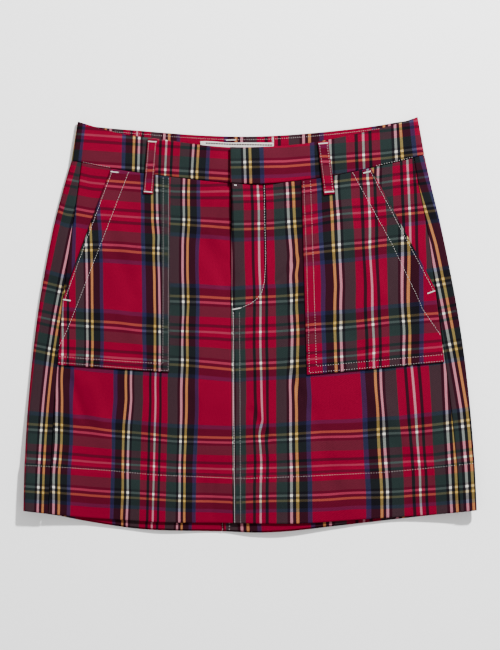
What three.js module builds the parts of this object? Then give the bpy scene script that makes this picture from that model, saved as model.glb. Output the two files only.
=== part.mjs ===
// A tartan mini skirt laid flat on a table, front up, as a three.js scene graph.
//
// Millimetres, +Z up. The origin is on the table under the middle of the skirt, +Y points to the
// waist and +X to the wearer's left. Left and right are the wearer's.
//
// The skirt is a flattened tube. Two back panels lie on the table and each rolls over a side fold
// to a side seam on top, where a front panel takes over. One waistband runs all round and laps left
// over right at the centre front. Patch pockets with slanted openings, belt loops and a blank tape
// label are laid on.

import * as THREE from 'three';
import { mergeVertices } from 'three/addons/utils/BufferGeometryUtils.js';

// Cloth and clearances
const CLOTH = 1.2; // one layer of cotton twill
const HEM_EXTRA = 1.0; // the turned-up second layer of the hem
const BAND = 2.0; // faced waistband
const LOOP = 1.2; // belt loop, folded flat
const LABEL = 1.0; // woven tape
const SEAM_GAP = 0.3; // between pieces that meet at a seam
const LAY_GAP = 0.6; // between the back and the front where they lie closest

// Sizes along the skirt
const BAND_DEPTH = 38; // of the waistband, from its seam to its top edge
const HEM_SHARE = 0.132; // 46 mm hem as a share of the panel's length
const FOLD_REACH = 3.4; // how far a side fold's roll reaches in from its edge
const FOLD_BLEND = 20; // the back's edges leave the front's over this width beside a fold

// Lofts: how far the front stands off the back
const SIDE_LOFT = 2.2; // beside the folds
const SIDE_LOFT_REACH = 62;
const WAIST_LOFT = 1.1; // along the waist seam
const MOUTH_LOFT = 0.9; // more at the middle of the waist, where the mouth gapes over the label
const WAIST_LOFT_REACH = 0.22;
const FLY_LIFT = 1.4; // the lapped front edge over the under one
const FLY_WIDTH = 33;
const POCKET_GAPE = 1.6; // the slanted opening stands off the front
const POCKET_GAPE_REACH = 26;
const LOOP_BOW = 0.9; // a loop's middle over the waistband

// Belt loops
const LOOP_BACK_X = -18.4;
const LOOP_BACK_WIDTH = 10;
const LOOP_TAIL = 17; // reach of a loop below the waistband
const LOOP_RISE_REACH = 24; // how far round the back loop the back is held off the table

const COLOURS = {
  tartan: 0x93102f,
  label: 0xe9e6df,
};

// Edges along the skirt's width, each y at its x
const HEM_FRONT = [
  { x: -226.3, y: -185.6 }, { x: -197, y: -189.0 }, { x: -165, y: -192.5 }, { x: -138, y: -194.4 },
  { x: -90, y: -197.2 }, { x: -17, y: -198.2 }, { x: 50, y: -198.3 }, { x: 101, y: -195.2 },
  { x: 136, y: -192.9 }, { x: 185, y: -189.5 }, { x: 226.5, y: -185.0 },
];
const HEM_BACK = [
  { x: -226.3, y: -185.6 }, { x: -192, y: -190.6 }, { x: -168, y: -195.4 }, { x: -144, y: -199.6 },
  { x: -118, y: -203.4 }, { x: -90, y: -205.4 }, { x: -24, y: -206.8 }, { x: 4, y: -207.8 },
  { x: 36, y: -206.5 }, { x: 84, y: -201.4 }, { x: 132, y: -196.0 }, { x: 180, y: -190.5 },
  { x: 226.5, y: -185.0 },
];
const WAIST_FRONT = [
  { x: -226, y: 173.5 }, { x: -178.7, y: 164.5 }, { x: -137, y: 156.3 }, { x: -71, y: 147.4 },
  { x: -19, y: 142.0 }, { x: 14, y: 141.2 }, { x: 69, y: 147.0 }, { x: 103, y: 153.4 },
  { x: 157, y: 165.5 }, { x: 174.5, y: 170.4 }, { x: 226, y: 184.0 },
];
const WAIST_BACK = [
  { x: -226, y: 173.5 }, { x: -178.7, y: 164.5 }, { x: -156, y: 160.4 }, { x: -108, y: 156.0 },
  { x: -60, y: 152.4 }, { x: -12, y: 150.4 }, { x: 36, y: 152.0 }, { x: 84, y: 156.6 },
  { x: 132, y: 163.2 }, { x: 174.5, y: 170.4 }, { x: 226, y: 184.0 },
];
const BAND_TOP_FRONT = [
  { x: -179, y: 205.4 }, { x: -171.6, y: 203.2 }, { x: -146, y: 195.6 }, { x: -127, y: 190.9 },
  { x: -99, y: 187.2 }, { x: -50, y: 180.2 }, { x: -20, y: 177.6 }, { x: 20, y: 178.4 },
  { x: 60, y: 182.2 }, { x: 96, y: 189.0 }, { x: 144, y: 200.2 }, { x: 167, y: 207.8 },
  { x: 175, y: 211.0 },
];
const BAND_TOP_BACK = [
  { x: -179, y: 205.4 }, { x: -171.6, y: 203.2 }, { x: -156, y: 198.8 }, { x: -108, y: 194.4 },
  { x: -60, y: 190.6 }, { x: -12, y: 188.6 }, { x: 36, y: 190.2 }, { x: 84, y: 194.3 },
  { x: 132, y: 200.3 }, { x: 167, y: 207.8 }, { x: 175, y: 211.0 },
];

// The waistband's top corners
const BAND_FOLDS = { right: -172.4, left: 167.8 };

// Edges along the skirt's length, each x at its share of the way from the hem to the waist seam
const SIDES = [
  { up: 0.0, foldRight: -226.3, seamRight: -201.4, seamLeft: 209.7, foldLeft: 226.5 },
  { up: 0.15, foldRight: -225.0, seamRight: -198.8, seamLeft: 206.0, foldLeft: 224.0 },
  { up: 0.3, foldRight: -222.0, seamRight: -196.1, seamLeft: 200.6, foldLeft: 219.6 },
  { up: 0.45, foldRight: -217.0, seamRight: -192.2, seamLeft: 193.8, foldLeft: 213.3 },
  { up: 0.6, foldRight: -210.0, seamRight: -187.6, seamLeft: 186.6, foldLeft: 204.7 },
  { up: 0.8, foldRight: -197.0, seamRight: -178.4, seamLeft: 176.8, foldLeft: 190.5 },
  { up: 0.92, foldRight: -186.5, seamRight: -172.2, seamLeft: 168.6, foldLeft: 180.5 },
  { up: 1.0, foldRight: -178.7, seamRight: -168.6, seamLeft: 163.9, foldLeft: 174.5 },
];
const CENTRE_SEAMS = [
  { up: 0.0, front: -17.0, back: -27.8 },
  { up: 0.35, front: -18.3, back: -25.5 },
  { up: 1.0, front: -18.8, back: -18.4 },
];

// Where the hem is off the table: the cloth's largest waves
const HEM_WAVES = [
  { x: -226.5, lift: 6.5 }, { x: -185, lift: 3.6 }, { x: -125, lift: 0.8 }, { x: -85, lift: 1.9 },
  { x: -30, lift: 0.0 }, { x: 5, lift: 2.6 }, { x: 35, lift: 4.0 }, { x: 85, lift: 2.0 },
  { x: 145, lift: 0.0 }, { x: 190, lift: 2.2 }, { x: 226.5, lift: 6.5 },
];
const WAVE_REACH = 0.4; // share of the length that a wave dies out over

// Patch pockets, traced round from the top of the slanted opening
const POCKETS = {
  right: {
    slantTop: { x: -139.0, y: 156.4 }, slantEnd: { x: -187.2, y: 25.0 },
    outerCorner: { x: -192.6, y: -40.0 }, innerCorner: { x: -81.0, y: -47.4 },
    innerTop: { x: -80.6, y: 148.4 },
  },
  left: {
    slantTop: { x: 120.8, y: 157.2 }, slantEnd: { x: 185.2, y: 34.4 },
    outerCorner: { x: 194.4, y: -37.2 }, innerCorner: { x: 56.8, y: -50.2 },
    innerTop: { x: 51.3, y: 145.0 },
  },
};

// Front belt loops: the middle of each end, and the width
const LOOPS = {
  right: { top: { x: -97.4, y: 186.0 }, foot: { x: -101.9, y: 130.8 }, width: 9.6 },
  left: { top: { x: 72.9, y: 183.4 }, foot: { x: 79.2, y: 130.2 }, width: 10.8 },
};

// The label's edges on the inner face of the back waistband
const LABEL_EDGES = { right: -49.6, left: 23.6, top: 183.6, depth: 13 };

const mix = (a, b, t) => a + (b - a) * t;
const smooth = (t) => {
  const c = Math.min(1, Math.max(0, t));
  return c * c * (3 - 2 * c);
};
const fade = (distance, reach) => 1 - smooth(Math.abs(distance) / reach);

// A smooth curve through a table's rows: the column `to` at a value of the column `from`
function curve(rows, from, to) {
  const slope = rows.map((row, i) => {
    const a = rows[Math.max(0, i - 1)];
    const b = rows[Math.min(rows.length - 1, i + 1)];
    return (b[to] - a[to]) / (b[from] - a[from]);
  });
  return (value) => {
    let i = rows.findIndex((row) => row[from] > value) - 1;
    if (i < 0) i = value <= rows[0][from] ? 0 : rows.length - 2;
    const a = rows[i];
    const b = rows[i + 1];
    const run = b[from] - a[from];
    const t = (value - a[from]) / run;
    const s = 1 - t;
    return a[to] * s * s * (1 + 2 * t) + b[to] * t * t * (3 - 2 * t)
      + run * (slope[i] * t * s * s - slope[i + 1] * t * t * s);
  };
}

const hemFront = curve(HEM_FRONT, 'x', 'y');
const hemBack = curve(HEM_BACK, 'x', 'y');
const waistFront = curve(WAIST_FRONT, 'x', 'y');
const waistBack = curve(WAIST_BACK, 'x', 'y');
const bandTopFront = curve(BAND_TOP_FRONT, 'x', 'y');
const bandTopBack = curve(BAND_TOP_BACK, 'x', 'y');
const foldRight = curve(SIDES, 'up', 'foldRight');
const seamRight = curve(SIDES, 'up', 'seamRight');
const seamLeft = curve(SIDES, 'up', 'seamLeft');
const foldLeft = curve(SIDES, 'up', 'foldLeft');
const centreFront = curve(CENTRE_SEAMS, 'up', 'front');
const centreBack = curve(CENTRE_SEAMS, 'up', 'back');
const hemWave = curve(HEM_WAVES, 'x', 'lift');

const frontY = (x, up) => mix(hemFront(x), waistFront(x) - SEAM_GAP, up);
const backShare = (x, right, left) => smooth((Math.min(x - right, left - x) - FOLD_REACH) / FOLD_BLEND);
const backY = (x, up) => mix(
  frontY(x, up), mix(hemBack(x), waistBack(x) - SEAM_GAP, up), backShare(x, foldRight(up), foldLeft(up)),
);
const frontUp = (x, y) => (y - hemFront(x)) / (waistFront(x) - SEAM_GAP - hemFront(x));

// Heights. The back lies on the table but for the hem's waves and the loop sewn behind the waist.
const hemThickness = (up) => CLOTH + HEM_EXTRA * fade(Math.max(0, up - HEM_SHARE), 0.02);

function loopRise(x, y) {
  const across = fade(Math.max(0, Math.abs(x - LOOP_BACK_X) - LOOP_BACK_WIDTH), LOOP_RISE_REACH);
  const below = waistBack(LOOP_BACK_X) - LOOP_TAIL - 4 - y;
  return (LOOP + SEAM_GAP) * across * fade(Math.max(0, below), LOOP_RISE_REACH);
}

function backRise(x, y, up) {
  return Math.max(0, hemWave(x)) * fade(up, WAVE_REACH) + loopRise(x, y);
}

// The underside of the front, off the table
function frontUnder(x, up) {
  const y = frontY(x, up);
  const fromFold = Math.min(x - foldRight(up), foldLeft(up) - x);
  const side = SIDE_LOFT * fade(Math.max(0, fromFold - FOLD_REACH), SIDE_LOFT_REACH);
  const waist = (WAIST_LOFT + MOUTH_LOFT * fade(x - LOOP_BACK_X, 130)) * fade(1 - up, WAIST_LOFT_REACH);
  return backRise(x, y, up) + hemThickness(up) + LAY_GAP + side + waist;
}

const frontOuter = (x, up) => frontUnder(x, up) + hemThickness(up);

// The fly: the wearer's left front stands over the right one along the lap
function flyLift(x, up) {
  const along = fade(Math.max(0, 0.62 - up), 0.14);
  return FLY_LIFT * along * fade(x - centreFront(up), FLY_WIDTH) + 0.3 * fade(x - centreFront(up), FLY_WIDTH);
}

// A closed wall between two grids of points, `outer` and `inner`, each an array of rows
function closedWall(outer, inner) {
  const rows = outer.length;
  const columns = outer[0].length;
  const positions = [...outer.flat(), ...inner.flat()].flatMap((p) => [p.x, p.y, p.z]);
  const at = (layer, i, j) => layer * rows * columns + i * columns + j;
  const index = [];
  const quad = (a, b, c, d) => index.push(a, b, c, a, c, d);
  for (let i = 0; i + 1 < rows; i++) {
    for (let j = 0; j + 1 < columns; j++) {
      quad(at(0, i, j), at(0, i, j + 1), at(0, i + 1, j + 1), at(0, i + 1, j));
      quad(at(1, i, j), at(1, i + 1, j), at(1, i + 1, j + 1), at(1, i, j + 1));
    }
    const last = columns - 1;
    quad(at(0, i, 0), at(0, i + 1, 0), at(1, i + 1, 0), at(1, i, 0));
    quad(at(0, i + 1, last), at(0, i, last), at(1, i, last), at(1, i + 1, last));
  }
  for (let j = 0; j + 1 < columns; j++) {
    const last = rows - 1;
    quad(at(0, 0, j + 1), at(0, 0, j), at(1, 0, j), at(1, 0, j + 1));
    quad(at(0, last, j), at(0, last, j + 1), at(1, last, j + 1), at(1, last, j));
  }
  const geometry = new THREE.BufferGeometry();
  geometry.setAttribute('position', new THREE.Float32BufferAttribute(positions, 3));
  geometry.setIndex(index);
  return facingOut(geometry);
}

// Turns a closed geometry's faces round if they point inwards
function facingOut(geometry) {
  const position = geometry.getAttribute('position');
  const index = geometry.getIndex();
  const [a, b, c] = [new THREE.Vector3(), new THREE.Vector3(), new THREE.Vector3()];
  let volume = 0;
  for (let i = 0; i < index.count; i += 3) {
    a.fromBufferAttribute(position, index.getX(i));
    b.fromBufferAttribute(position, index.getX(i + 1));
    c.fromBufferAttribute(position, index.getX(i + 2));
    volume += a.dot(b.cross(c));
  }
  if (volume < 0) index.array.reverse();
  return mergeVertices(geometry);
}

function piece(name, geometry, colour = COLOURS.tartan) {
  geometry.computeVertexNormals();
  const material = new THREE.MeshStandardMaterial({ color: colour, roughness: 0.85, metalness: 0 });
  const mesh = new THREE.Mesh(geometry, material);
  mesh.name = name;
  return mesh;
}

const point = (x, y, z) => new THREE.Vector3(x, y, z);
const steps = (from, to, count) => Array.from({ length: count + 1 }, (_, i) => mix(from, to, i / count));

// Shares of the length for a panel's rows, closer together where the hem's second layer ends
const PANEL_ROWS = [0, 0.06, HEM_SHARE, HEM_SHARE + 0.02, ...steps(0.21, 0.86, 9), 0.93, 1];

function frontPanel(name, edgeA, edgeB, columns, lift) {
  const outer = [];
  const inner = [];
  for (const up of PANEL_ROWS) {
    const xs = steps(edgeA(up), edgeB(up), columns);
    outer.push(xs.map((x) => point(x, frontY(x, up), frontOuter(x, up) + lift(x, up))));
    inner.push(xs.map((x) => point(x, frontY(x, up), frontUnder(x, up) + lift(x, up))));
  }
  return piece(name, closedWall(outer, inner));
}

// A roll from the top layer to the bottom one round a side fold, its y from the edge `yAt`.
// `side` is -1 on the right.
function foldRoll(side, foldX, topZ, bottomZ, thickness, yAt) {
  const middle = (topZ + bottomZ) / 2;
  const half = (topZ - bottomZ) / 2;
  const centreX = foldX - side * FOLD_REACH;
  const arc = (inset) => steps(0, Math.PI, 6).map((a) => {
    const x = centreX + side * (FOLD_REACH - inset) * Math.sin(a);
    return point(x, yAt(x), middle + (half - inset) * Math.cos(a));
  });
  return { outer: arc(0), inner: arc(thickness) };
}

function backPanel(name, side, fold, seam, columns) {
  const outer = [];
  const inner = [];
  for (const up of PANEL_ROWS) {
    const thickness = hemThickness(up);
    const foldX = fold(up);
    const rollX = foldX - side * FOLD_REACH;
    const seamX = seam(up) + side * SEAM_GAP / 2;
    const top = steps(seamX, rollX, 3).slice(0, -1);
    const under = steps(rollX, centreBack(up) + side * SEAM_GAP / 2, columns).slice(1);
    const roll = foldRoll(
      side, foldX, frontOuter(rollX, up), backRise(rollX, frontY(rollX, up), up), thickness,
      (x) => frontY(x, up),
    );
    const underY = under.map((x) => backY(x, up));
    outer.push([
      ...top.map((x) => point(x, frontY(x, up), frontOuter(x, up))),
      ...roll.outer,
      ...under.map((x, i) => point(x, underY[i], backRise(x, underY[i], up))),
    ]);
    inner.push([
      ...top.map((x) => point(x, frontY(x, up), frontUnder(x, up))),
      ...roll.inner,
      ...under.map((x, i) => point(x, underY[i], backRise(x, underY[i], up) + thickness)),
    ]);
  }
  return piece(name, closedWall(outer, inner));
}

// A patch pocket, its points laid on the front's outer face and moved out
function pocket(name, side, shape) {
  const lift = side > 0 ? flyLift : () => 0;
  const rows = [
    ...steps(0, 1, 3).map((t) => ({ outer: shape.outerCorner, end: shape.slantEnd, t, part: 0 })),
    ...steps(0, 1, 7).slice(1).map((t) => ({ outer: shape.slantEnd, end: shape.slantTop, t, part: 1 })),
  ];
  const lengthShare = (y) => (y - shape.innerCorner.y) / (shape.innerTop.y - shape.innerCorner.y);
  const bow = (x, y) => {
    const top = waistFront(x) - SEAM_GAP;
    return (top - mix(shape.slantTop.y, shape.innerTop.y, (x - shape.slantTop.x)
      / (shape.innerTop.x - shape.slantTop.x))) * smooth(lengthShare(y));
  };
  const outer = [];
  const inner = [];
  for (const row of rows) {
    const edge = point(mix(row.outer.x, row.end.x, row.t), mix(row.outer.y, row.end.y, row.t), 0);
    const share = (edge.y - shape.outerCorner.y) / (shape.slantTop.y - shape.outerCorner.y);
    const innerEdge = point(
      mix(shape.innerCorner.x, shape.innerTop.x, share), mix(shape.innerCorner.y, shape.innerTop.y, share), 0,
    );
    const gape = row.part ? POCKET_GAPE * Math.sin(Math.PI * row.t) : 0;
    const under = steps(0, 1, 10).map((across) => {
      const x = mix(edge.x, innerEdge.x, across);
      const flatY = mix(edge.y, innerEdge.y, across);
      const y = flatY + bow(x, flatY);
      const away = Math.abs(x - edge.x);
      return point(x, y, frontOuter(x, frontUp(x, y)) + lift(x, frontUp(x, y)) + SEAM_GAP
        + gape * fade(away, POCKET_GAPE_REACH));
    });
    inner.push(under);
    outer.push(under.map((p) => point(p.x, p.y, p.z + CLOTH)));
  }
  return piece(name, closedWall(outer, inner));
}

// The waistband's front, its underside off the table at an x
const bandUnder = (x) => frontUnder(x, 1) - 0.2;

function waistband() {
  const lapX = centreFront(1);
  const lapUnder = BAND + SEAM_GAP;
  const lapReach = 34; // the lap and its under-layer cover each other over this width
  const lapSlope = 24; // and the lap comes down to the front over this one
  const lapLift = (x) => lapUnder * fade(Math.max(0, x - lapX - lapReach), lapSlope);
  const outer = [];
  const inner = [];
  for (const rise of steps(0, 1, 4)) {
    const foldR = mix(foldRight(1), BAND_FOLDS.right, rise);
    const foldL = mix(foldLeft(1), BAND_FOLDS.left, rise);
    const rollR = foldR + FOLD_REACH;
    const rollL = foldL - FOLD_REACH;
    const frontBandY = (x) => mix(waistFront(x), bandTopFront(x), rise);
    const backBandY = (x) => mix(
      frontBandY(x), mix(waistBack(x), bandTopBack(x), rise), backShare(x, foldR, foldL),
    );
    const mouth = 0.5 * rise; // the top edge stands open a little more
    const underFront = (x) => bandUnder(x) + mouth * fade(x - lapX, 120);
    const right = steps(lapX + lapReach - 4, rollR, 15).slice(0, -1);
    const back = steps(rollR, rollL, 30).slice(1, -1);
    const left = steps(rollL, lapX, 18).slice(1);
    const rightRoll = foldRoll(-1, foldR, underFront(rollR) + BAND, 0, BAND, frontBandY);
    const leftRoll = foldRoll(1, foldL, underFront(rollL) + BAND, 0, BAND, frontBandY);
    leftRoll.outer.reverse();
    leftRoll.inner.reverse();
    const backZ = (x) => loopRise(x, waistBack(x));
    outer.push([
      ...right.map((x) => point(x, frontBandY(x), underFront(x) + BAND)),
      ...rightRoll.outer,
      ...back.map((x) => point(x, backBandY(x), backZ(x))),
      ...leftRoll.outer,
      ...left.map((x) => point(x, frontBandY(x), underFront(x) + lapLift(x) + BAND)),
    ]);
    inner.push([
      ...right.map((x) => point(x, frontBandY(x), underFront(x))),
      ...rightRoll.inner,
      ...back.map((x) => point(x, backBandY(x), backZ(x) + BAND)),
      ...leftRoll.inner,
      ...left.map((x) => point(x, frontBandY(x), underFront(x) + lapLift(x))),
    ]);
  }
  return piece('waistband', closedWall(outer, inner));
}

// A front belt loop: sewn down at its top and foot, bowed over the waistband between them
function frontLoop(name, shape) {
  const bandTop = bandUnder(shape.top.x) + BAND + 0.5;
  const up = frontUp(shape.foot.x, shape.foot.y);
  const pocketTop = frontOuter(shape.foot.x, up) + SEAM_GAP + CLOTH;
  const outer = [];
  const inner = [];
  for (const t of steps(0, 1, 8)) {
    const x = mix(shape.top.x, shape.foot.x, t);
    const y = mix(shape.top.y, shape.foot.y, t);
    const seat = mix(bandTop, pocketTop, smooth(t)) + 2 * SEAM_GAP + LOOP_BOW * Math.sin(Math.PI * t);
    const under = steps(-0.5, 0.5, 2).map((across) => point(x + across * shape.width, y, seat));
    inner.push(under);
    outer.push(under.map((p) => point(p.x, p.y, p.z + LOOP)));
  }
  return piece(name, closedWall(outer, inner));
}

// The loop behind the waist lies on the table, under the waistband and the top of the back
function backLoop() {
  const top = bandTopBack(LOOP_BACK_X) - 1;
  const foot = waistBack(LOOP_BACK_X) - LOOP_TAIL;
  const geometry = new THREE.BoxGeometry(LOOP_BACK_WIDTH, top - foot, LOOP);
  const loop = piece('loop_back', geometry);
  loop.position.set(LOOP_BACK_X, (top + foot) / 2, LOOP / 2);
  return loop;
}

// The label lies on the back waistband, its lower edge under the front one
function label() {
  const z = (x) => loopRise(x, waistBack(x)) + BAND + SEAM_GAP;
  const inner = [-LABEL_EDGES.depth, 0].map((down) => steps(LABEL_EDGES.right, LABEL_EDGES.left, 12)
    .map((x) => point(x, LABEL_EDGES.top + down, z(x))));
  const outer = inner.map((row) => row.map((p) => point(p.x, p.y, p.z + LABEL)));
  return piece('label', closedWall(outer, inner), COLOURS.label);
}

const flat = () => 0;
const skirt = new THREE.Group();
skirt.name = 'mini_skirt';
skirt.add(
  backPanel('back_right', -1, foldRight, seamRight, 12),
  backPanel('back_left', 1, foldLeft, seamLeft, 15),
  frontPanel('front_right', (up) => seamRight(up) + SEAM_GAP / 2, (up) => centreFront(up) - SEAM_GAP / 2, 13, flat),
  frontPanel('front_left', (up) => centreFront(up) + SEAM_GAP / 2, (up) => seamLeft(up) - SEAM_GAP / 2, 17, flyLift),
  pocket('pocket_right', -1, POCKETS.right),
  pocket('pocket_left', 1, POCKETS.left),
  waistband(),
  frontLoop('loop_front_right', LOOPS.right),
  frontLoop('loop_front_left', LOOPS.left),
  backLoop(),
  label(),
);

export default skirt;
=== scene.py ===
"""A tartan mini skirt laid flat: cloth panels, pockets, waistband, loops, label and thread.

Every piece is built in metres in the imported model's frame: the table is z = 0, +Y points to the
waist and +X to the wearer's left. Tables and functions below are in millimetres, as cut and sewn.
"""

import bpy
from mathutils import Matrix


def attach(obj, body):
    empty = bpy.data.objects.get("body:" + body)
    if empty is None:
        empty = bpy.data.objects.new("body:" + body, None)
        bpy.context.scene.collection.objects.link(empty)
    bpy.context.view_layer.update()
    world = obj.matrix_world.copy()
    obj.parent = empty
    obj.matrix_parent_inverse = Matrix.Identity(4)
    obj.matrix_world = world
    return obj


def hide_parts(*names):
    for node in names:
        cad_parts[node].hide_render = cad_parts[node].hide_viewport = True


bl_info = {
    "name": "Tartan Mini Skirt",
    "version": (1, 0, 0),
    "blender": (4, 5, 0),
    "location": "3D View > Sidebar > Skirt",
    "description": "Makes a tartan mini skirt laid flat, with its stitching and a plain studio",
    "category": "Add Mesh",
}

import math

import bpy
import numpy as np
from bpy.props import FloatProperty, FloatVectorProperty, PointerProperty
from mathutils import Vector, noise
from mathutils.bvhtree import BVHTree

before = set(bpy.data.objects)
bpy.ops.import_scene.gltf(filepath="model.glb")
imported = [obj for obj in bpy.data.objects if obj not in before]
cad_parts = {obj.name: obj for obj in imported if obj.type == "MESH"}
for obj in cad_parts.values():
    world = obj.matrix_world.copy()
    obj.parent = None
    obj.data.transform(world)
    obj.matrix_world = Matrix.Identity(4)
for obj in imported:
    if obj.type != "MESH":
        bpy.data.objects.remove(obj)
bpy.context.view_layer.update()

MM = 0.001

# Sizes, in millimetres
CLOTH = 1.2  # one layer, as drawn
HEM_EXTRA = 1.0  # the turned-up second layer of the hem
BAND = 2.0  # faced waistband
BAND_SINK = 0.2  # the band lies this much lower than the panels
PANEL_LENGTH, BACK_LENGTH = 345.0, 350  # from the hem to the waist seam
POCKET_DEPTH, POCKET_LENGTH = 190, 196  # at the slanted side and at the inner one
BAND_DEPTH = 37
LOOP_LENGTH = 53
SEAM_GAP = 0.3  # between pieces that are sewn together
LAY_GAP = 0.6  # between the front and the back
HEM_SHARE = 0.132  # of the panel's length, a 46 mm hem
FOLD_REACH = 3.4  # how far the side fold's roll reaches in
FOLD_BLEND = 20
SIDE_LOFT, SIDE_LOFT_REACH = 2.2, 62
WAIST_LOFT, MOUTH_LOFT, WAIST_LOFT_REACH = 1.1, 0.9, 0.22
FLY_LIFT, FLY_WIDTH = 1.4, 33
LAP_CURL, LAP_CURL_WIDTH = 1.5, 15  # the lap stands further off at the waist
CREASE_DEPTH = 1.3  # of the heights in the table of creases
POCKET_GAPE, POCKET_GAPE_REACH = 1.6, 26
LOOP_THICK, LOOP_BOW, LOOP_TAIL = 1.2, 0.9, 17
LOOP_BACK_X, LOOP_BACK_WIDTH, LOOP_RISE_REACH = -18.4, 10, 24
WAVE_REACH = 0.4
SETT = 141.2  # one repeat of the tartan, from a lone white stripe to the next

# Edges across the skirt, y at x
HEM_FRONT = (
    (-226.3, -185.6), (-197, -189.0), (-165, -192.5), (-138, -194.4), (-90, -197.2), (-17, -198.2),
    (50, -198.3), (101, -195.2), (136, -192.9), (185, -189.5), (226.5, -185.0),
)
HEM_BACK = (
    (-226.3, -185.6), (-192, -190.6), (-168, -195.4), (-144, -199.6), (-118, -203.4), (-90, -205.4),
    (-24, -206.8), (4, -207.8), (36, -206.5), (84, -201.4), (132, -196.0), (180, -190.5),
    (226.5, -185.0),
)
WAIST_FRONT = (
    (-226, 173.5), (-178.7, 164.5), (-137, 156.3), (-71, 147.4), (-19, 142.0), (14, 141.2),
    (69, 147.0), (103, 153.4), (157, 165.5), (174.5, 170.4), (226, 184.0),
)
WAIST_BACK = (
    (-226, 173.5), (-178.7, 164.5), (-156, 160.4), (-108, 156.0), (-60, 152.4), (-12, 150.4),
    (36, 152.0), (84, 156.6), (132, 163.2), (174.5, 170.4), (226, 184.0),
)
BAND_TOP_FRONT = (
    (-179, 205.4), (-171.6, 203.2), (-146, 195.6), (-127, 190.9), (-99, 187.2), (-50, 180.2),
    (-20, 177.6), (20, 178.4), (60, 182.2), (96, 189.0), (144, 200.2), (167, 207.8), (175, 211.0),
)
BAND_TOP_BACK = (
    (-179, 205.4), (-171.6, 203.2), (-156, 198.8), (-108, 194.4), (-60, 190.6), (-12, 188.6),
    (36, 190.2), (84, 194.3), (132, 200.3), (167, 207.8), (175, 211.0),
)
BAND_FOLD_RIGHT, BAND_FOLD_LEFT = -172.4, 167.8

# Edges along the skirt, x at the share of the way from hem to waist seam
SIDE_UPS = (0.0, 0.15, 0.3, 0.45, 0.6, 0.8, 0.92, 1.0)
FOLD_RIGHT = (-226.3, -225.0, -222.0, -217.0, -210.0, -197.0, -186.5, -178.7)
SEAM_RIGHT = (-201.4, -198.8, -196.1, -192.2, -187.6, -178.4, -172.2, -168.6)
SEAM_LEFT = (209.7, 206.0, 200.6, 193.8, 186.6, 176.8, 168.6, 163.9)
FOLD_LEFT = (226.5, 224.0, 219.6, 213.3, 204.7, 190.5, 180.5, 174.5)
CENTRE_UPS = (0.0, 0.35, 1.0)
CENTRE_FRONT = (-17.0, -18.3, -18.8)
CENTRE_BACK = (-27.8, -25.5, -18.4)

# Where the hem's waves stand off the table, lift at x
HEM_WAVES = (
    (-226.5, 6.5), (-185, 3.6), (-125, 0.8), (-85, 1.9), (-30, 0.0), (5, 2.6), (35, 4.0),
    (85, 2.0), (145, 0.0), (190, 2.2), (226.5, 6.5),
)

# Patch pockets, corner by corner
POCKETS = {
    "right": {
        "slant_top": (-139.0, 156.4), "slant_end": (-187.2, 25.0), "outer": (-192.6, -40.0),
        "inner": (-81.0, -47.4), "inner_top": (-80.6, 148.4),
    },
    "left": {
        "slant_top": (120.8, 157.2), "slant_end": (185.2, 34.4), "outer": (194.4, -37.2),
        "inner": (56.8, -50.2), "inner_top": (51.3, 145.0),
    },
}

# Front belt loops: the middle of the top and foot, and the width
LOOPS = {
    "right": ((-97.4, 186.0), (-101.9, 130.8), 9.6),
    "left": ((72.9, 183.4), (79.2, 130.2), 10.8),
}
LABEL = {"right": -49.6, "left": 23.6, "top": 183.6, "depth": 13, "thick": 1.0}

# Soft creases of the laid cloth: a line from (x, y) to (x, y), the reach to each side,
# and the height. Troughs are negative.
CREASES = (
    (-47, 84, -20, 44, 15, -1.1),
    (-78, 92, -112, 60, 12, 0.5),
    (-30, 128, -36, 96, 7, -0.6),
    (29, 44, 46, 66, 5, -1.0),
    (50, 40, 42, 20, 6, 0.6),
    (2, -86, 20, -116, 6, -0.9),
    (40, -44, 50, -70, 6, -0.9),
    (-66, 6, -70, -22, 5, 0.6),
    (-179, -56, -167, -92, 8, -1.2),
    (-160, -60, -148, -96, 12, 0.6),
    (118, -62, 170, -132, 15, 0.9),
    (-150, -100, -118, -160, 16, 0.7),
    (-62, -76, -48, -168, 13, -0.7),
    (62, -88, 86, -166, 14, -0.8),
    (-36, -148, -38, -190, 5, -0.5),
    (-148, 112, -118, 30, 12, -0.7),
    (-128, 10, -104, -30, 11, 0.6),
    (96, 112, 132, 30, 13, 0.7),
    (150, 70, 168, 10, 10, -0.6),
    (90, 0, 130, -34, 11, -0.5),
)


# Curves and shares
def mix(a, b, t):
    """The value at share t of the way from a to b."""
    return a + (b - a) * t


def smooth(t):
    """A soft step from 0 to 1."""
    c = np.clip(t, 0.0, 1.0)
    return c * c * (3 - 2 * c)


def fade(distance, reach):
    """1 on a line, and fading out within reach on both sides of it."""
    return 1 - smooth(np.abs(distance) / reach)


def fade_past(distance, reach):
    """1 as far as a line, and fading out within reach beyond it."""
    return 1 - smooth(distance / reach)


def share_along(x, y, x0, y0, x1, y1):
    """The share of the way from one place to another that points of the cloth lie at."""
    dx, dy = x1 - x0, y1 - y0
    return ((x - x0) * dx + (y - y0) * dy) / (dx * dx + dy * dy)


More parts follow.
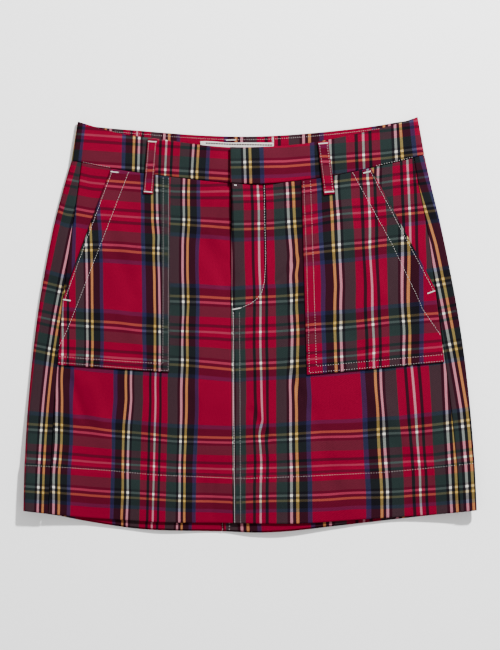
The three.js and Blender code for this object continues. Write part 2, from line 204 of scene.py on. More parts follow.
def curve(xs, ys):
    """A smooth curve through points, the same one that shapes the solids."""
    xs, ys = np.asarray(xs, float), np.asarray(ys, float)
    ahead = np.append(np.arange(1, len(xs)), len(xs) - 1)
    behind = np.insert(np.arange(0, len(xs) - 1), 0, 0)
    slope = (ys[ahead] - ys[behind]) / (xs[ahead] - xs[behind])

    def at(value):
        value = np.asarray(value, float)
        i = np.clip(np.searchsorted(xs, value, side="right") - 1, 0, len(xs) - 2)
        run = xs[i + 1] - xs[i]
        t = (value - xs[i]) / run
        s = 1 - t
        return (
            ys[i] * s * s * (1 + 2 * t)
            + ys[i + 1] * t * t * (3 - 2 * t)
            + run * (slope[i] * t * s * s - slope[i + 1] * t * t * s)
        )

    return at


def through(points):
    """A smooth curve through points."""
    return curve(*zip(*points))


hem_front, hem_back = through(HEM_FRONT), through(HEM_BACK)
waist_front, waist_back = through(WAIST_FRONT), through(WAIST_BACK)
band_top_front, band_top_back = through(BAND_TOP_FRONT), through(BAND_TOP_BACK)
fold_right, seam_right = curve(SIDE_UPS, FOLD_RIGHT), curve(SIDE_UPS, SEAM_RIGHT)
seam_left, fold_left = curve(SIDE_UPS, SEAM_LEFT), curve(SIDE_UPS, FOLD_LEFT)
centre_front, centre_back = curve(CENTRE_UPS, CENTRE_FRONT), curve(CENTRE_UPS, CENTRE_BACK)
hem_wave = through(HEM_WAVES)


def front_y(x, up):
    """The y of a place on the front at x, and at a share of the way up from hem to waist."""
    return mix(hem_front(x), waist_front(x) - SEAM_GAP, up)


def front_up(x, y):
    """The share of the way up that a place on the front has."""
    return (y - hem_front(x)) / (waist_front(x) - SEAM_GAP - hem_front(x))


def back_share(x, right, left):
    """0 at the side folds, where the back is as long as the front, and 1 between them."""
    return smooth((np.minimum(x - right, left - x) - FOLD_REACH) / FOLD_BLEND)


def back_y(x, up):
    """The y of a place on the back, in the same way."""
    back = mix(hem_back(x), waist_back(x) - SEAM_GAP, up)
    return mix(front_y(x, up), back, back_share(x, fold_right(up), fold_left(up)))


def hem_thickness(up):
    """A panel's thickness, with the hem's second layer."""
    return CLOTH + HEM_EXTRA * fade_past(up - HEM_SHARE, 0.02)


def loop_rise(x, y):
    """The loop behind stands the back a little off the table."""
    across = fade_past(np.abs(x - LOOP_BACK_X) - LOOP_BACK_WIDTH, LOOP_RISE_REACH)
    below = waist_back(LOOP_BACK_X) - LOOP_TAIL - 4 - y
    return (LOOP_THICK + SEAM_GAP) * across * fade_past(below, LOOP_RISE_REACH)


def back_rise(x, y, up):
    """How far off the table the back panels' lower face is."""
    return np.maximum(0, hem_wave(x)) * fade(up, WAVE_REACH) + loop_rise(x, y)


def front_under(x, up):
    """The height of the front panels' lower face."""
    from_fold = np.minimum(x - fold_right(up), fold_left(up) - x)
    side = SIDE_LOFT * fade_past(from_fold - FOLD_REACH, SIDE_LOFT_REACH)
    waist = (WAIST_LOFT + MOUTH_LOFT * fade(x - LOOP_BACK_X, 130)) * fade(1 - up, WAIST_LOFT_REACH)
    base = back_rise(x, front_y(x, up), up) + hem_thickness(up)
    return base + LAY_GAP + side + waist


def front_outer(x, up):
    """The height of the front panels' outer face, without creases."""
    return front_under(x, up) + hem_thickness(up)


def fly_lift(x, up):
    """How far the left front stands up where it laps over the right one."""
    along = fade_past(0.62 - up, 0.14)
    across = fade(x - centre_front(up), FLY_WIDTH)
    curl = LAP_CURL * smooth((up - 0.8) / 0.14) * fade(x - centre_front(up), LAP_CURL_WIDTH)
    return (FLY_LIFT * along + 0.3) * across + curl


def rolled_edge(distance, radius=1.1):
    """How far a folded edge's surface drops at a distance in from the edge."""
    d = np.clip(distance, 0, radius)
    return radius - np.sqrt(np.maximum(0, radius * radius - (radius - d) ** 2))


def uneven(x, y, across, along, seed):
    """Soft random relief between -1 and 1, its swells this long across and along the skirt."""
    found = [noise.noise(Vector((a / across, b / along, seed))) for a, b in zip(x.flat, y.flat)]
    return np.array(found).reshape(x.shape)


def distance_to_path(x, y, points):
    """How far points of the cloth are from a line of straight runs."""
    best = np.full(x.shape, 1e9)
    for (x0, y0), (x1, y1) in zip(points, points[1:]):
        t = np.clip(share_along(x, y, x0, y0, x1, y1), 0, 1)
        best = np.minimum(best, np.hypot(x - mix(x0, x1, t), y - mix(y0, y1, t)))
    return best


def crease_end(along):
    """A crease runs out past both of its ends."""
    return fade_past(np.abs(along - 0.5) - 0.5, 0.6)


def crease_height(x, y):
    """The laid cloth's own relief: the creases, and a faint unevenness all over."""
    total = np.zeros_like(x)
    for x0, y0, x1, y1, reach, height in CREASES:
        away = distance_to_path(x, y, ((x0, y0), (x1, y1)))
        end = crease_end(share_along(x, y, x0, y0, x1, y1))
        total += CREASE_DEPTH * height * fade(away, reach) * end
    return total + 0.45 * uneven(x, y, 34, 52, 3.1) + 0.07 * uneven(x, y, 11, 15, 8.4)


def crease_pull(x, y):
    """How far the creases draw the threads along, across and up the skirt."""
    across, upward = np.zeros_like(x), np.zeros_like(x)
    for x0, y0, x1, y1, reach, height in CREASES:
        dx, dy = x1 - x0, y1 - y0
        length = math.hypot(dx, dy)
        away = ((x - x0) * dy - (y - y0) * dx) / length / reach
        pull = 1.5 * height * away * np.exp(-away * away)
        pull = pull * crease_end(share_along(x, y, x0, y0, x1, y1))
        across, upward = across + pull * dy / length, upward - pull * dx / length
    return across + 0.9 * uneven(x, y, 60, 38, 1.7), upward + 0.8 * uneven(x, y, 42, 60, 6.2)


def pucker(along, away, reach=5.0, pitch=9.0, seed=0.0):
    """Small pulls beside a line of stitching: a groove on the line and ripples across it."""
    wander = np.sin(along / pitch * 2 * math.pi + 1.7 * np.sin(along / 31 + seed) + seed)
    return fade(away, reach) * 0.10 * wander - 0.16 * fade(away, 1.2)


# How the tartan lies

# The cloth's own threads, counted in millimetres of sett from a lone white stripe. Each table
# says where a stripe lies on the finished piece, so the stripes bend as the pieces do.
STRIPES = {
    # piece: (sett, x) across, at the height `at`; then how far each leans at other heights
    "front_right": {
        "at": ((-110.8, -192.9), (-105.2, -187.6), (-93.1, -176.4), (-48.1, -137.5), (-36, -125.8),
               (-30.4, -120.6), (0, -94.9), (15.6, -82.6), (30.4, -68.7), (36, -63.7),
               (48.1, -52.2), (93.1, -9)),
        "xs": (-193, -95, -52), "ys": (-195, -75, 63, 145),
        "lean": ((-4, -2.2, -1.9), (0, 0, 0), (1.2, 2, 1.7), (4.4, 2.6, 2.6)),
    },
    "front_left": {
        "at": ((-30.4, -17.5), (0, 11.2), (30.4, 40.6), (36, 46.7), (48.1, 60.8), (93.1, 111.4),
               (105.2, 126.2), (110.8, 131.7), (141.2, 164), (171.6, 195.8)),
        "xs": (11, 60, 164, 196), "ys": (-189, -70, -41, 65, 145),
        "lean": ((-0.5, 1.5, 7.4, 6), (0, 0, 0, 0), (-0.4, -0.8, -2.3, -0.5), (-1.8, -2, -3.6, -5),
                 (-3.4, -3, -6, -8)),
    },
    "pocket_right": {
        "at": ((-15, -201), (0, -188), (15.8, -174.7), (30.4, -163.4), (36, -158.1),
               (48.1, -146.9), (93.1, -108.3), (105.2, -97), (110.8, -92), (126, -79)),
        "xs": (-188, -80), "ys": (-40, 63, 145), "lean": ((0.5, 0.5), (0, 0), (-1.5, -1.5)),
    },
    "pocket_left": {
        "at": ((-93.1, 24), (-48.1, 71.7), (-36, 84.7), (-30.4, 90.7), (0, 123.2), (30.4, 153.6),
               (36, 159.6), (48.1, 173.6), (93.1, 218)),
        "xs": (71, 125, 155), "ys": (-43, -15, 110, 145),
        "lean": ((1.4, 1.4, 0.4), (0, 0, 0), (-4.3, -4.3, -0.5), (-6, -6, -2)),
    },
    "band_right": {
        "at": ((-97.4, -171), (-93.1, -167.6), (-48.1, -128.2), (-36, -116.2), (-30.4, -111.1),
               (0, -84), (30.4, -57), (36, -51.9), (48.1, -40), (93.1, 0)),
        "xs": (-171, -127, -50, -20), "ys": (153, 173, 203),
        "lean": ((-2.6, -0.4, -1.2, -1), (0, 0, 0, 0), (3.9, 0.6, 1.8, 1.5)),
    },
    "band_left": {
        "at": ((-125.4, -19.3), (-110.8, -5.5), (-105.2, 0), (-93.1, 13.7), (-48.1, 60.3),
               (-36, 74.5), (-30.4, 80.5), (0, 113.7), (30.4, 146.2), (36, 152.2), (48.1, 167.6),
               (93.1, 214)),
        "xs": (0, 113, 146, 168), "ys": (138, 168, 208),
        "lean": ((0.9, 1.2, 1.6, 3.6), (0, 0, 0, 0), (-1.2, -1, -1.7, -5.5)),
    },
    "band_back": {
        "at": ((-189.3, -155), (-141.2, -113), (-93.1, -70), (-48.1, -26), (-36, -14), (0, 22.8),
               (30.4, 53.5), (36, 59.5), (48.1, 73.7), (93.1, 122), (141.2, 170)),
        "xs": (-100, 100), "ys": (150, 190), "lean": ((-1, 1), (0, 0)),
    },
}

# The weft's stripes across each half of the skirt: y of each at these x
WEFT_SETTS = (0, 36, 105.2, 141.2, 177.2, 246.4, 282.4, 318.4)
WEFT_RIGHT_XS = (-215, -184, -160, -75, -21)
WEFT_RIGHT = (
    (160, 147, 141.9, 133.4, 133.7), (124, 111.6, 108.2, 101, 97), (46, 38, 35, 29.3, 26.7),
    (10, 3, -0.5, -5.8, -8.3), (-24.5, -31.5, -35, -40, -43.9),
    (-98.5, -100.6, -103, -112, -112.7), (-132.7, -135, -137.2, -143, -144.3),
    (-165.5, -168, -170.6, -175.5, -176.8),
)
WEFT_LEFT_XS = (-17, 22, 90, 150, 186, 215)
WEFT_LEFT = (
    (128.5, 130.3, 136, 144.5, 149.5, 155), (95.5, 97, 102.5, 110, 114.5, 120),
    (26, 28, 33, 40.5, 45, 50), (-8, -6.5, -2, 5.5, 10, 16),
    (-44.5, -43.1, -38.5, -32, -27.5, -22.5), (-112.5, -110, -106.6, -103.4, -99.3, -95.4),
    (-144.5, -143, -140.4, -137.8, -135.3, -131.5), (-177.3, -176, -174, -171.5, -169, -166),
)
# The weft's stripes on the pockets, in the same way
WEFT_POCKET_SETTS = (-36, 0, 36, 105.2, 141.2)
WEFT_POCKETS = {
    "right": ((-190, -164, -147, -130, -108, -81), (
        (145.5, 144.8, 144, 143.1, 142, 138.5), (110.5, 110.2, 109.7, 108.8, 107.9, 106.1),
        (74.6, 74.6, 75.1, 74.2, 73, 70.6), (6.2, 4.3, 3, 1.7, 0, -2),
        (-29.1, -30.8, -31.9, -33, -34.4, -36.2))),
    "left": ((50, 75, 100, 120, 140, 195), (
        (138.7, 141.6, 145.2, 146.7, 148, 153.4), (104.4, 108.2, 111.8, 113.2, 114.6, 120.8),
        (70.5, 73.4, 76.1, 78.1, 80.2, 86.2), (-1, 1.3, 3.4, 5.4, 7.4, 12.9),
        (-35.2, -33.1, -30.7, -28.7, -26.7, -21.2))),
}

# At a side fold the threads are counted both ways from it. For each back panel: a stripe's count,
# how far that stripe lies from the fold at each y, and the threads' pitch under and on top
FOLD_THREADS = {
    "back_right": (30.4, ((-189, 14.5), (-75, 15), (-27, 15.7), (63, 18.5), (130, 19)),
                   0.825, 0.88),
    "back_left": (252, ((-145, 9.3), (-84, 9.5), (-53, 11.4), (-20, 13.2), (9, 14.1), (43, 14.5),
                        (81, 14.6), (113, 17), (138, 18.5)), 1.1, 1.05),
}

# Where the cloth is pulled sideways: the piece, the x it happens at and how far to each side,
# and how far the threads move over at each y
JOGS = (
    ("front_left", 44, 26, ((150, -1.3), (112, 0.2), (83, 1.9), (68, 2.9), (60, 2.4), (51, 1.2),
                            (24, 2.1), (-5, 2.8), (-40, 1.4), (-63, 0))),
    ("front_left", 127, 24, ((-30, 1.6), (-69, 1.0), (-108, 0.5), (-192, 0.7))),
    ("front_left", 148, 16, ((-42, 0.8), (-115, 1.6), (-190, 0.6))),
    ("front_left", 166, 22, ((-42, 0.3), (-75, 0.8), (-108, 1.5), (-137, 0.6), (-192, 0.8))),
    ("front_left", 158, 26, ((165, -1.9), (150, -0.8), (135, 0))),
    ("pocket_left", 120, 20, ((150, 0.6), (138, 1.6), (120, 1.0), (100, 0.4), (80, 0))),
    ("pocket_left", 155, 18, ((110, -1.4), (70, -1.0), (20, -0.8), (-5, 0))),
    ("front_left", 11, 10, ((20, 0), (-40, 0), (-95, 1.3), (-110, -0.9), (-135, 0))),
    ("front_right", -122, 36, ((-20, 1.9), (-75, 1.6), (-100, 0))),
    ("pocket_right", -95, 18, ((105, 0), (88, 1.5), (-40, 1.5))),
    ("pocket_right", -150, 20, ((160, -2), (119, -2), (95, 0))),
    ("pocket_left", 86, 34, ((152, 1.9), (138, 1.4), (120, 1.1), (83, 1.9), (61, 2.2), (39, 2.7),
                             (17, 1.5), (-5, 0.6), (-30, 0))),
)


def jog(name, x, y):
    """How far sideways a piece's threads are pulled."""
    total = np.zeros_like(x)
    for piece, middle, reach, moves in JOGS:
        if piece == name:
            ys, shifts = zip(*reversed(moves))
            total = total + np.interp(y, ys, shifts) * fade(x - middle, reach)
    return total


def stretched(value, xs, ys):
    """Straight runs between points, carried on past both ends."""
    xs, ys = np.asarray(xs, float), np.asarray(ys, float)
    i = np.clip(np.searchsorted(xs, value) - 1, 0, len(xs) - 2)
    return ys[i] + (ys[i + 1] - ys[i]) * (value - xs[i]) / (xs[i + 1] - xs[i])


def rows_at(x, xs, rows):
    """Each row of a table at x, its columns at xs."""
    return np.stack([stretched(x, xs, row) for row in rows])


def pick(rows, k):
    """At each point, the value in row k."""
    return np.take_along_axis(rows, k[None], 0)[0]


def table_at(x, y, xs, ys, values):
    """A table's value at points, its rows at heights ys and its columns at xs."""
    across = rows_at(np.clip(x, xs[0], xs[-1]), xs, values)
    ys = np.asarray(ys, float)
    y = np.clip(y, ys[0], ys[-1])
    i = np.clip(np.searchsorted(ys, y) - 1, 0, len(ys) - 2)
    t = (y - ys[i]) / (ys[i + 1] - ys[i])
    return mix(pick(across, i), pick(across, i + 1), t)


def warp_of(name, x, y):
    """The warp's count at points of a piece."""
    stripes = STRIPES[name]
    lean = table_at(x, y, stripes["xs"], stripes["ys"], stripes["lean"])
    setts, xs = zip(*stripes["at"])
    return stretched(x - lean - jog(name, x, y), xs, setts)


def rows_to_sett(y, setts, lines):
    """The weft's count at y, where `lines` holds the y of each stripe in `setts` at the point."""
    i = np.clip((y[None] < lines).sum(0) - 1, 0, len(setts) - 2)
    setts = np.asarray(setts, float)
    top, foot = pick(lines, i), pick(lines, i + 1)
    return setts[i] + (setts[i + 1] - setts[i]) * (top - y) / (top - foot)


def weft_of(x, y):
    """The weft's count at points of the four panels."""
    right, left = (
        rows_to_sett(y, WEFT_SETTS, rows_at(x, xs, rows))
        for xs, rows in ((WEFT_RIGHT_XS, WEFT_RIGHT), (WEFT_LEFT_XS, WEFT_LEFT))
    )
    return np.where(x < centre_front(0.5), right, left)


def pocket_weft(side, x, y):
    """The weft's count at points of a pocket."""
    return rows_to_sett(y, WEFT_POCKET_SETTS, rows_at(x, *WEFT_POCKETS[side]))


# Colours and finishes
def linear(code):
    """An sRGB hex colour as linear RGBA."""
    parts = [int(code[i : i + 2], 16) / 255 for i in (0, 2, 4)]
    parts = [c / 12.92 if c <= 0.04045 else ((c + 0.055) / 1.055) ** 2.4 for c in parts]
    return (*parts, 1.0)


# One half of the sett, from the lone white stripe to the middle of the broad red: where each
# stripe ends, and its yarn
HALF_SETT = (
    (0.95, "white"), (4.85, "red"), (7.8, "black"), (15.6, "red"), (26.3, "green"), (29.1, "black"),
    (31.55, "white"), (34.7, "black"), (37.1, "yellow"), (44.2, "black"), (48.0, "blue"),
    (70.6, "red"),
)
# Each yarn's dye, and how strongly it hides the yarn that it crosses: dark ones hide the most
YARNS = {
    "red": ("61021d", 1.0), "black": ("0c0b0f", 2.8), "green": ("192221", 2.8),
    "white": ("c2beb5", 0.06), "yellow": ("957839", 0.6), "blue": ("1a1833", 2.5),
}
WARP_SHARE = 0.7  # of the twill's face
# Millimetres between the twill's lines, as drawn, between the tape's ribs and the thread's turns,
# and across the cloth's flecks and its lighter and darker patches
TWILL_PITCH, TAPE_RIB, THREAD_TWIST, FLECK_SIZE, CLOUD_SIZE = 1.5, 0.9, 0.8, 1.1, 45
FIBRE_HAZE = 0.003  # what any fibre sends back, whatever its dye


def woven(warp, weft):
    """What the eye makes of two yarns where they cross in the twill: half of the light comes off
    them side by side, and half through one and off the other."""
    (over, over_hides), (under, under_hides) = YARNS[warp], YARNS[weft]
    a, b = WARP_SHARE * over_hides, (1 - WARP_SHARE) * under_hides
    mixed = []
    for o, u in zip(linear(over)[:3], linear(under)[:3]):
        beside = (a * o + b * u) / (a + b)
        through = (o + FIBRE_HAZE) ** WARP_SHARE * (u + FIBRE_HAZE) ** (1 - WARP_SHARE)
        mixed.append(mix(beside, through - FIBRE_HAZE, 0.5))
    return (*mixed, 1.0)


def plug(tree, made, links):
    """Gives a node's sockets, by name or number, their links or their values."""
    for socket, source in links:
        if isinstance(source, bpy.types.NodeSocket):
            tree.links.new(source, made.inputs[socket])
        else:
            made.inputs[socket].default_value = source


def node(tree, kind, links=(), **settings):
    """Adds a node with its settings and links."""
    made = tree.nodes.new(kind)
    for key, value in settings.items():
        setattr(made, key, value)
    plug(tree, made, links)
    return made


def new_material(name):
    """An empty material, its nodes and its shader."""
    material = bpy.data.materials.new(name)
    material.use_nodes = True
    tree = material.node_tree
    tree.nodes.clear()
    shader = node(tree, "ShaderNodeBsdfPrincipled")
    node(tree, "ShaderNodeOutputMaterial", [("Surface", shader.outputs["BSDF"])])
    return material, tree, shader


def wave_scale(count):
    """The scale that gives a wave texture `count` bands to one unit."""
    return count / 3.1416


def set_stripes(ramp, stripes):
    """Makes a ramp's colours flat stripes, each (end, colour), over 0 to the last end."""
    ramp.color_ramp.interpolation = "CONSTANT"
    stops = ramp.color_ramp.elements
    start, total = 0.0, stripes[-1][0]
    for i, (end, colour) in enumerate(stripes):
        stop = stops[i] if i < 2 else stops.new(start / total)
        stop.position = start / total
        stop.color = colour
        start = end


def tartan_material():
    """Yarn-dyed cotton twill, 2/2, about 270 g: matt, with the warp floating over the weft, so a
    stripe up the skirt reads stronger than the same stripe across it."""
    material, tree, shader = new_material("Yarn_dyed_cotton_twill")
    counts = node(tree, "ShaderNodeUVMap", uv_map="Sett").outputs["UV"]
    split = node(tree, "ShaderNodeSeparateXYZ", [("Vector", counts)])
    halves = []
    for axis in "XY":
        half = node(
            tree, "ShaderNodeMath", [(0, split.outputs[axis]), (1, 0.5)], operation="PINGPONG"
        )
        half = node(
            tree, "ShaderNodeMath", [(0, half.outputs[0]), (1, 2.0)], operation="MULTIPLY"
        )
        halves.append(half.outputs[0])
    across, down = halves
    here, elsewhere = (1, 1, 1, 1), (0, 0, 0, 1)
    colour = None
    for weft in YARNS:
        face = node(tree, "ShaderNodeValToRGB", [("Fac", across)])
        set_stripes(face, [(end, woven(warp, weft)) for end, warp in HALF_SETT])
        if colour is None:
            colour = face.outputs["Color"]
            continue
        share = node(tree, "ShaderNodeValToRGB", [("Fac", down)])
        set_stripes(share, [(end, here if yarn == weft else elsewhere) for end, yarn in HALF_SETT])
        colour = node(
            tree, "ShaderNodeMix",
            [(0, share.outputs["Color"]), (6, colour), (7, face.outputs["Color"])],
            data_type="RGBA", blend_type="MIX",
        ).outputs[2]

    # The twill line: 0.9 mm apart on the real cloth, drawn 1.5 mm apart to show at this size.
    # It is a steep one, and lets the weft's shade through between floats.
    steep = node(
        tree, "ShaderNodeMapping", [("Vector", counts), ("Rotation", (0, 0, math.radians(52)))]
    )
    lines = node(
        tree, "ShaderNodeTexWave",
        [("Vector", steep.outputs[0]), ("Scale", wave_scale(SETT / TWILL_PITCH)),
         ("Distortion", 0.35), ("Detail", 1.0)],
        wave_type="BANDS", bands_direction="X",
    ).outputs["Fac"]
    fleck, cloud = (
        node(
            tree, "ShaderNodeTexNoise",
            [("Vector", counts), ("Scale", SETT / size), ("Detail", detail)],
        ).outputs["Fac"]
        for size, detail in ((FLECK_SIZE, 2.0), (CLOUD_SIZE, 3.0))
    )
    # Each pattern is stretched from its own range to a range of shades.
    tone = 1.0
    for pattern, darkest, lightest, low, high in (
        (lines, 0.0, 1.0, 0.90, 1.07), (fleck, 0.3, 0.7, 0.83, 1.17), (cloud, 0.3, 0.7, 0.95, 1.05),
    ):
        shade = node(
            tree, "ShaderNodeMapRange",
            [("Value", pattern), ("From Min", darkest), ("From Max", lightest), ("To Min", low),
             ("To Max", high)],
        )
        tone = node(
            tree, "ShaderNodeMath", [(0, tone), (1, shade.outputs[0])], operation="MULTIPLY"
        ).outputs[0]
    shaded = node(tree, "ShaderNodeVectorMath", [(0, colour), ("Scale", tone)], operation="SCALE")
    rough = node(tree, "ShaderNodeMath", [(0, lines), (1, fleck)], operation="ADD")
    relief = node(
        tree, "ShaderNodeBump",
        [("Height", rough.outputs[0]), ("Distance", 0.00012),
         ("Strength", bpy.context.scene.skirt_colours.weave_depth)],
    )
    plug(tree, shader, [
        ("Base Color", shaded.outputs[0]), ("Normal", relief.outputs[0]), ("Roughness", 0.86),
        ("IOR", 1.46), ("Specular IOR Level", 0.02),
    ])
    return material


def tape_material():
    """Woven polyester satin tape: off-white, soft gloss, ribbed every 0.9 mm along its length."""
    material, tree, shader = new_material("Woven_polyester_tape")
    where = node(tree, "ShaderNodeTexCoord").outputs["Object"]
    ribs = node(
        tree, "ShaderNodeTexWave",
        [("Vector", where), ("Scale", wave_scale(1000 / TAPE_RIB)), ("Distortion", 0.6)],
        wave_type="BANDS", bands_direction="X",
    ).outputs["Fac"]
    shade = node(tree, "ShaderNodeMapRange", [("Value", ribs), ("To Min", 0.93), ("To Max", 1.0)])
    shaded = node(
        tree, "ShaderNodeVectorMath", [(0, linear("b7b2ad")[:3]), ("Scale", shade.outputs[0])],
        operation="SCALE",
    )
    relief = node(
        tree, "ShaderNodeBump", [("Height", ribs), ("Strength", 0.5), ("Distance", 0.0001)]
    )
    plug(tree, shader, [
        ("Base Color", shaded.outputs[0]), ("Normal", relief.outputs[0]), ("Roughness", 0.6),
    ])
    return material


def thread_material(name="Spun_polyester_thread", colour=None):
    """Spun polyester topstitching thread, two-ply: off-white with a soft sheen, and a twist
    every 0.8 mm that shows as fine slanted shade. The label's is a dark brown-grey."""
    material, tree, shader = new_material(name)
    where = node(tree, "ShaderNodeTexCoord").outputs["Object"]
    twist = node(
        tree, "ShaderNodeTexWave",
        [("Vector", where), ("Scale", wave_scale(1000 / THREAD_TWIST)), ("Distortion", 0.4)],
        wave_type="BANDS", bands_direction="DIAGONAL",
    ).outputs["Fac"]
    shade = node(tree, "ShaderNodeMapRange", [("Value", twist), ("To Min", 0.84), ("To Max", 1.0)])
    colour = colour or bpy.context.scene.skirt_colours.thread[:]
    shaded = node(
        tree, "ShaderNodeVectorMath", [(0, colour), ("Scale", shade.outputs[0])], operation="SCALE"
    )
    plug(tree, shader, [
        ("Base Color", shaded.outputs[0]), ("Roughness", 0.55), ("Sheen Weight", 0.1),
    ])
    return material


def dark_thread_material():
    """The label's thread, which shows as a dark brown-grey line."""
    return thread_material("Spun_polyester_thread_dark", linear("382c2c")[:3])


def floor_material():
    """Matt white studio sheet."""
    material, tree, shader = new_material("White_paper_sweep")
    where = node(tree, "ShaderNodeTexCoord").outputs["Object"]
    grain = node(tree, "ShaderNodeTexNoise", [("Vector", where), ("Scale", 900.0)])
    relief = node(
        tree, "ShaderNodeBump",
        [("Height", grain.outputs["Fac"]), ("Strength", 0.05), ("Distance", 0.0001)],
    )
    plug(tree, shader, [
        ("Base Color", linear("fafafa")), ("Normal", relief.outputs[0]), ("Roughness", 0.95),
    ])
    return material


MADE = {}
PIECES = {}  # the dressed piece that takes each CAD node's place


def finish_of(key):
    """The shared material for a finish, made the first time that it is asked for."""
    makers = {"tartan": tartan_material, "tape": tape_material, "thread": thread_material,
              "dark_thread": dark_thread_material, "floor": floor_material}
    if key not in MADE:
        MADE[key] = makers[key]()
    return MADE[key]


# Pieces of cloth
def start_mesh(name, add, **settings):
    """Adds a primitive with nothing else selected, and gives its object a name."""
    bpy.ops.object.select_all(action="DESELECT")
    add(**settings)
    piece = bpy.context.active_object
    piece.name = name
    piece.data.name = name
    return piece


def apply(piece, kind, **settings):
    """Adds a modifier with its settings and applies it."""
    modifier = piece.modifiers.new(kind.title(), kind)
    for key, value in settings.items():
        setattr(modifier, key, value)
    bpy.context.view_layer.objects.active = piece
    bpy.ops.object.modifier_apply(modifier=modifier.name)


NARROW = (0.0, 0.3, 0.8)  # the places at a narrow strip's edge


def edged(length, step, fine=(0.0, 0.22, 0.55, 1.0)):
    """Shares of a length, a step apart, with closer ones at both ends for a rolled edge."""
    inner = np.linspace(fine[-1] + 1.2, length - fine[-1] - 1.2, max(2, int(round(length / step))))
    return np.concatenate([fine, inner, length - np.array(fine[::-1])]) / length


def lay_cloth(
    name, across, along, place, thickness, thin=None, bevel=0.0, flip=False, finish="tartan"
):
    """Lays a grid of cloth. `place` takes the grid's shares and gives x, y and z in millimetres
    and the counts of warp and weft, and can give the underside's z too. The grid is the outer
    face, and the thickness goes inwards; `flip` turns the faces of a strip that runs clockwise."""
    columns, rows = len(across), len(along)
    piece = start_mesh(
        f"{name}_cloth", bpy.ops.mesh.primitive_grid_add, x_subdivisions=columns - 1,
        y_subdivisions=rows - 1, size=2,
    )
    mesh = piece.data
    if len(mesh.vertices) != columns * rows:
        raise RuntimeError(f"{name}: the grid hasn't {columns * rows} points")
    flat = np.empty(len(mesh.vertices) * 3)
    mesh.vertices.foreach_get("co", flat)
    flat = flat.reshape(-1, 3)
    i = np.rint((flat[:, 0] + 1) / 2 * (columns - 1)).astype(int)
    j = np.rint((flat[:, 1] + 1) / 2 * (rows - 1)).astype(int)
    a, b = np.meshgrid(across, along)
    x, y, z, warp, weft, *under = place(a, b)
    points = np.stack([x, y, z], axis=-1)[j, i] * MM
    mesh.vertices.foreach_set("co", points.ravel())
    sett = mesh.uv_layers.new(name="Sett") if not mesh.uv_layers else mesh.uv_layers[0]
    sett.name = "Sett"
    corners = np.empty(len(mesh.loops), dtype=int)
    mesh.loops.foreach_get("vertex_index", corners)
    if callable(warp):  # counts that change from one stretch of the strip to the next
        first = np.empty(len(mesh.polygons), dtype=int)
        mesh.polygons.foreach_get("loop_start", first)
        of_face = np.repeat(np.arange(len(first)), np.diff(np.append(first, len(corners))))
        left_column = np.full(len(first), columns)
        np.minimum.at(left_column, of_face, i[corners])
        u, v = warp(left_column[of_face], i[corners], j[corners])
    else:
        u, v = warp[j, i][corners], weft[j, i][corners]
    sett.data.foreach_set("uv", (np.stack([u, v], axis=-1) / SETT).ravel())
    if thin is not None:
        group = piece.vertex_groups.new(name="Layers")
        weights = np.round(thin(a, b)[j, i], 3)
        for level in np.unique(weights):
            group.add(np.nonzero(weights == level)[0].tolist(), float(level), "REPLACE")
    if flip:
        mesh.flip_normals()
    mesh.update()
    apply(
        piece, "SOLIDIFY", thickness=thickness * MM, offset=-1, use_even_offset=False,
        vertex_group="Layers" if thin is not None else "",
    )
    if under:  # the underside lies on what is below it, also where the outer face rolls down
        for k, height in enumerate(under[0][j, i]):
            mesh.vertices[len(flat) + k].co = (*mesh.vertices[k].co.xy, height * MM)
        mesh.update()
    if thin is not None:
        piece.vertex_groups.clear()
    if bevel:
        apply(
            piece, "BEVEL", width=bevel * MM, segments=2, limit_method="ANGLE",
            angle_limit=math.radians(50),
        )
    bpy.ops.object.shade_smooth()
    piece.data.materials.clear()
    piece.data.materials.append(finish_of(finish))
    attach(piece, "root")
    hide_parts(name)
    PIECES[name] = piece
    return piece


def hem_layers(_, up):
    """The share of the hem's thickness that a panel has."""
    return hem_thickness(up) / (CLOTH + HEM_EXTRA)


def hem_relief(x, y):
    """The hem's stitching pulls the cloth in along a line at its top."""
    return pucker(x, y - front_y(x, HEM_SHARE), reach=7, pitch=11, seed=0.7)


def waist_relief(x, up):
    """The panels are gathered slightly into the waist seam."""
    down = (1 - up) * PANEL_LENGTH
    pull = np.sin(x / 7.5 + 1.4 * np.sin(x / 23))
    return fade(down, 14) * 0.12 * pull - rolled_edge(down, 0.8) * 0.6


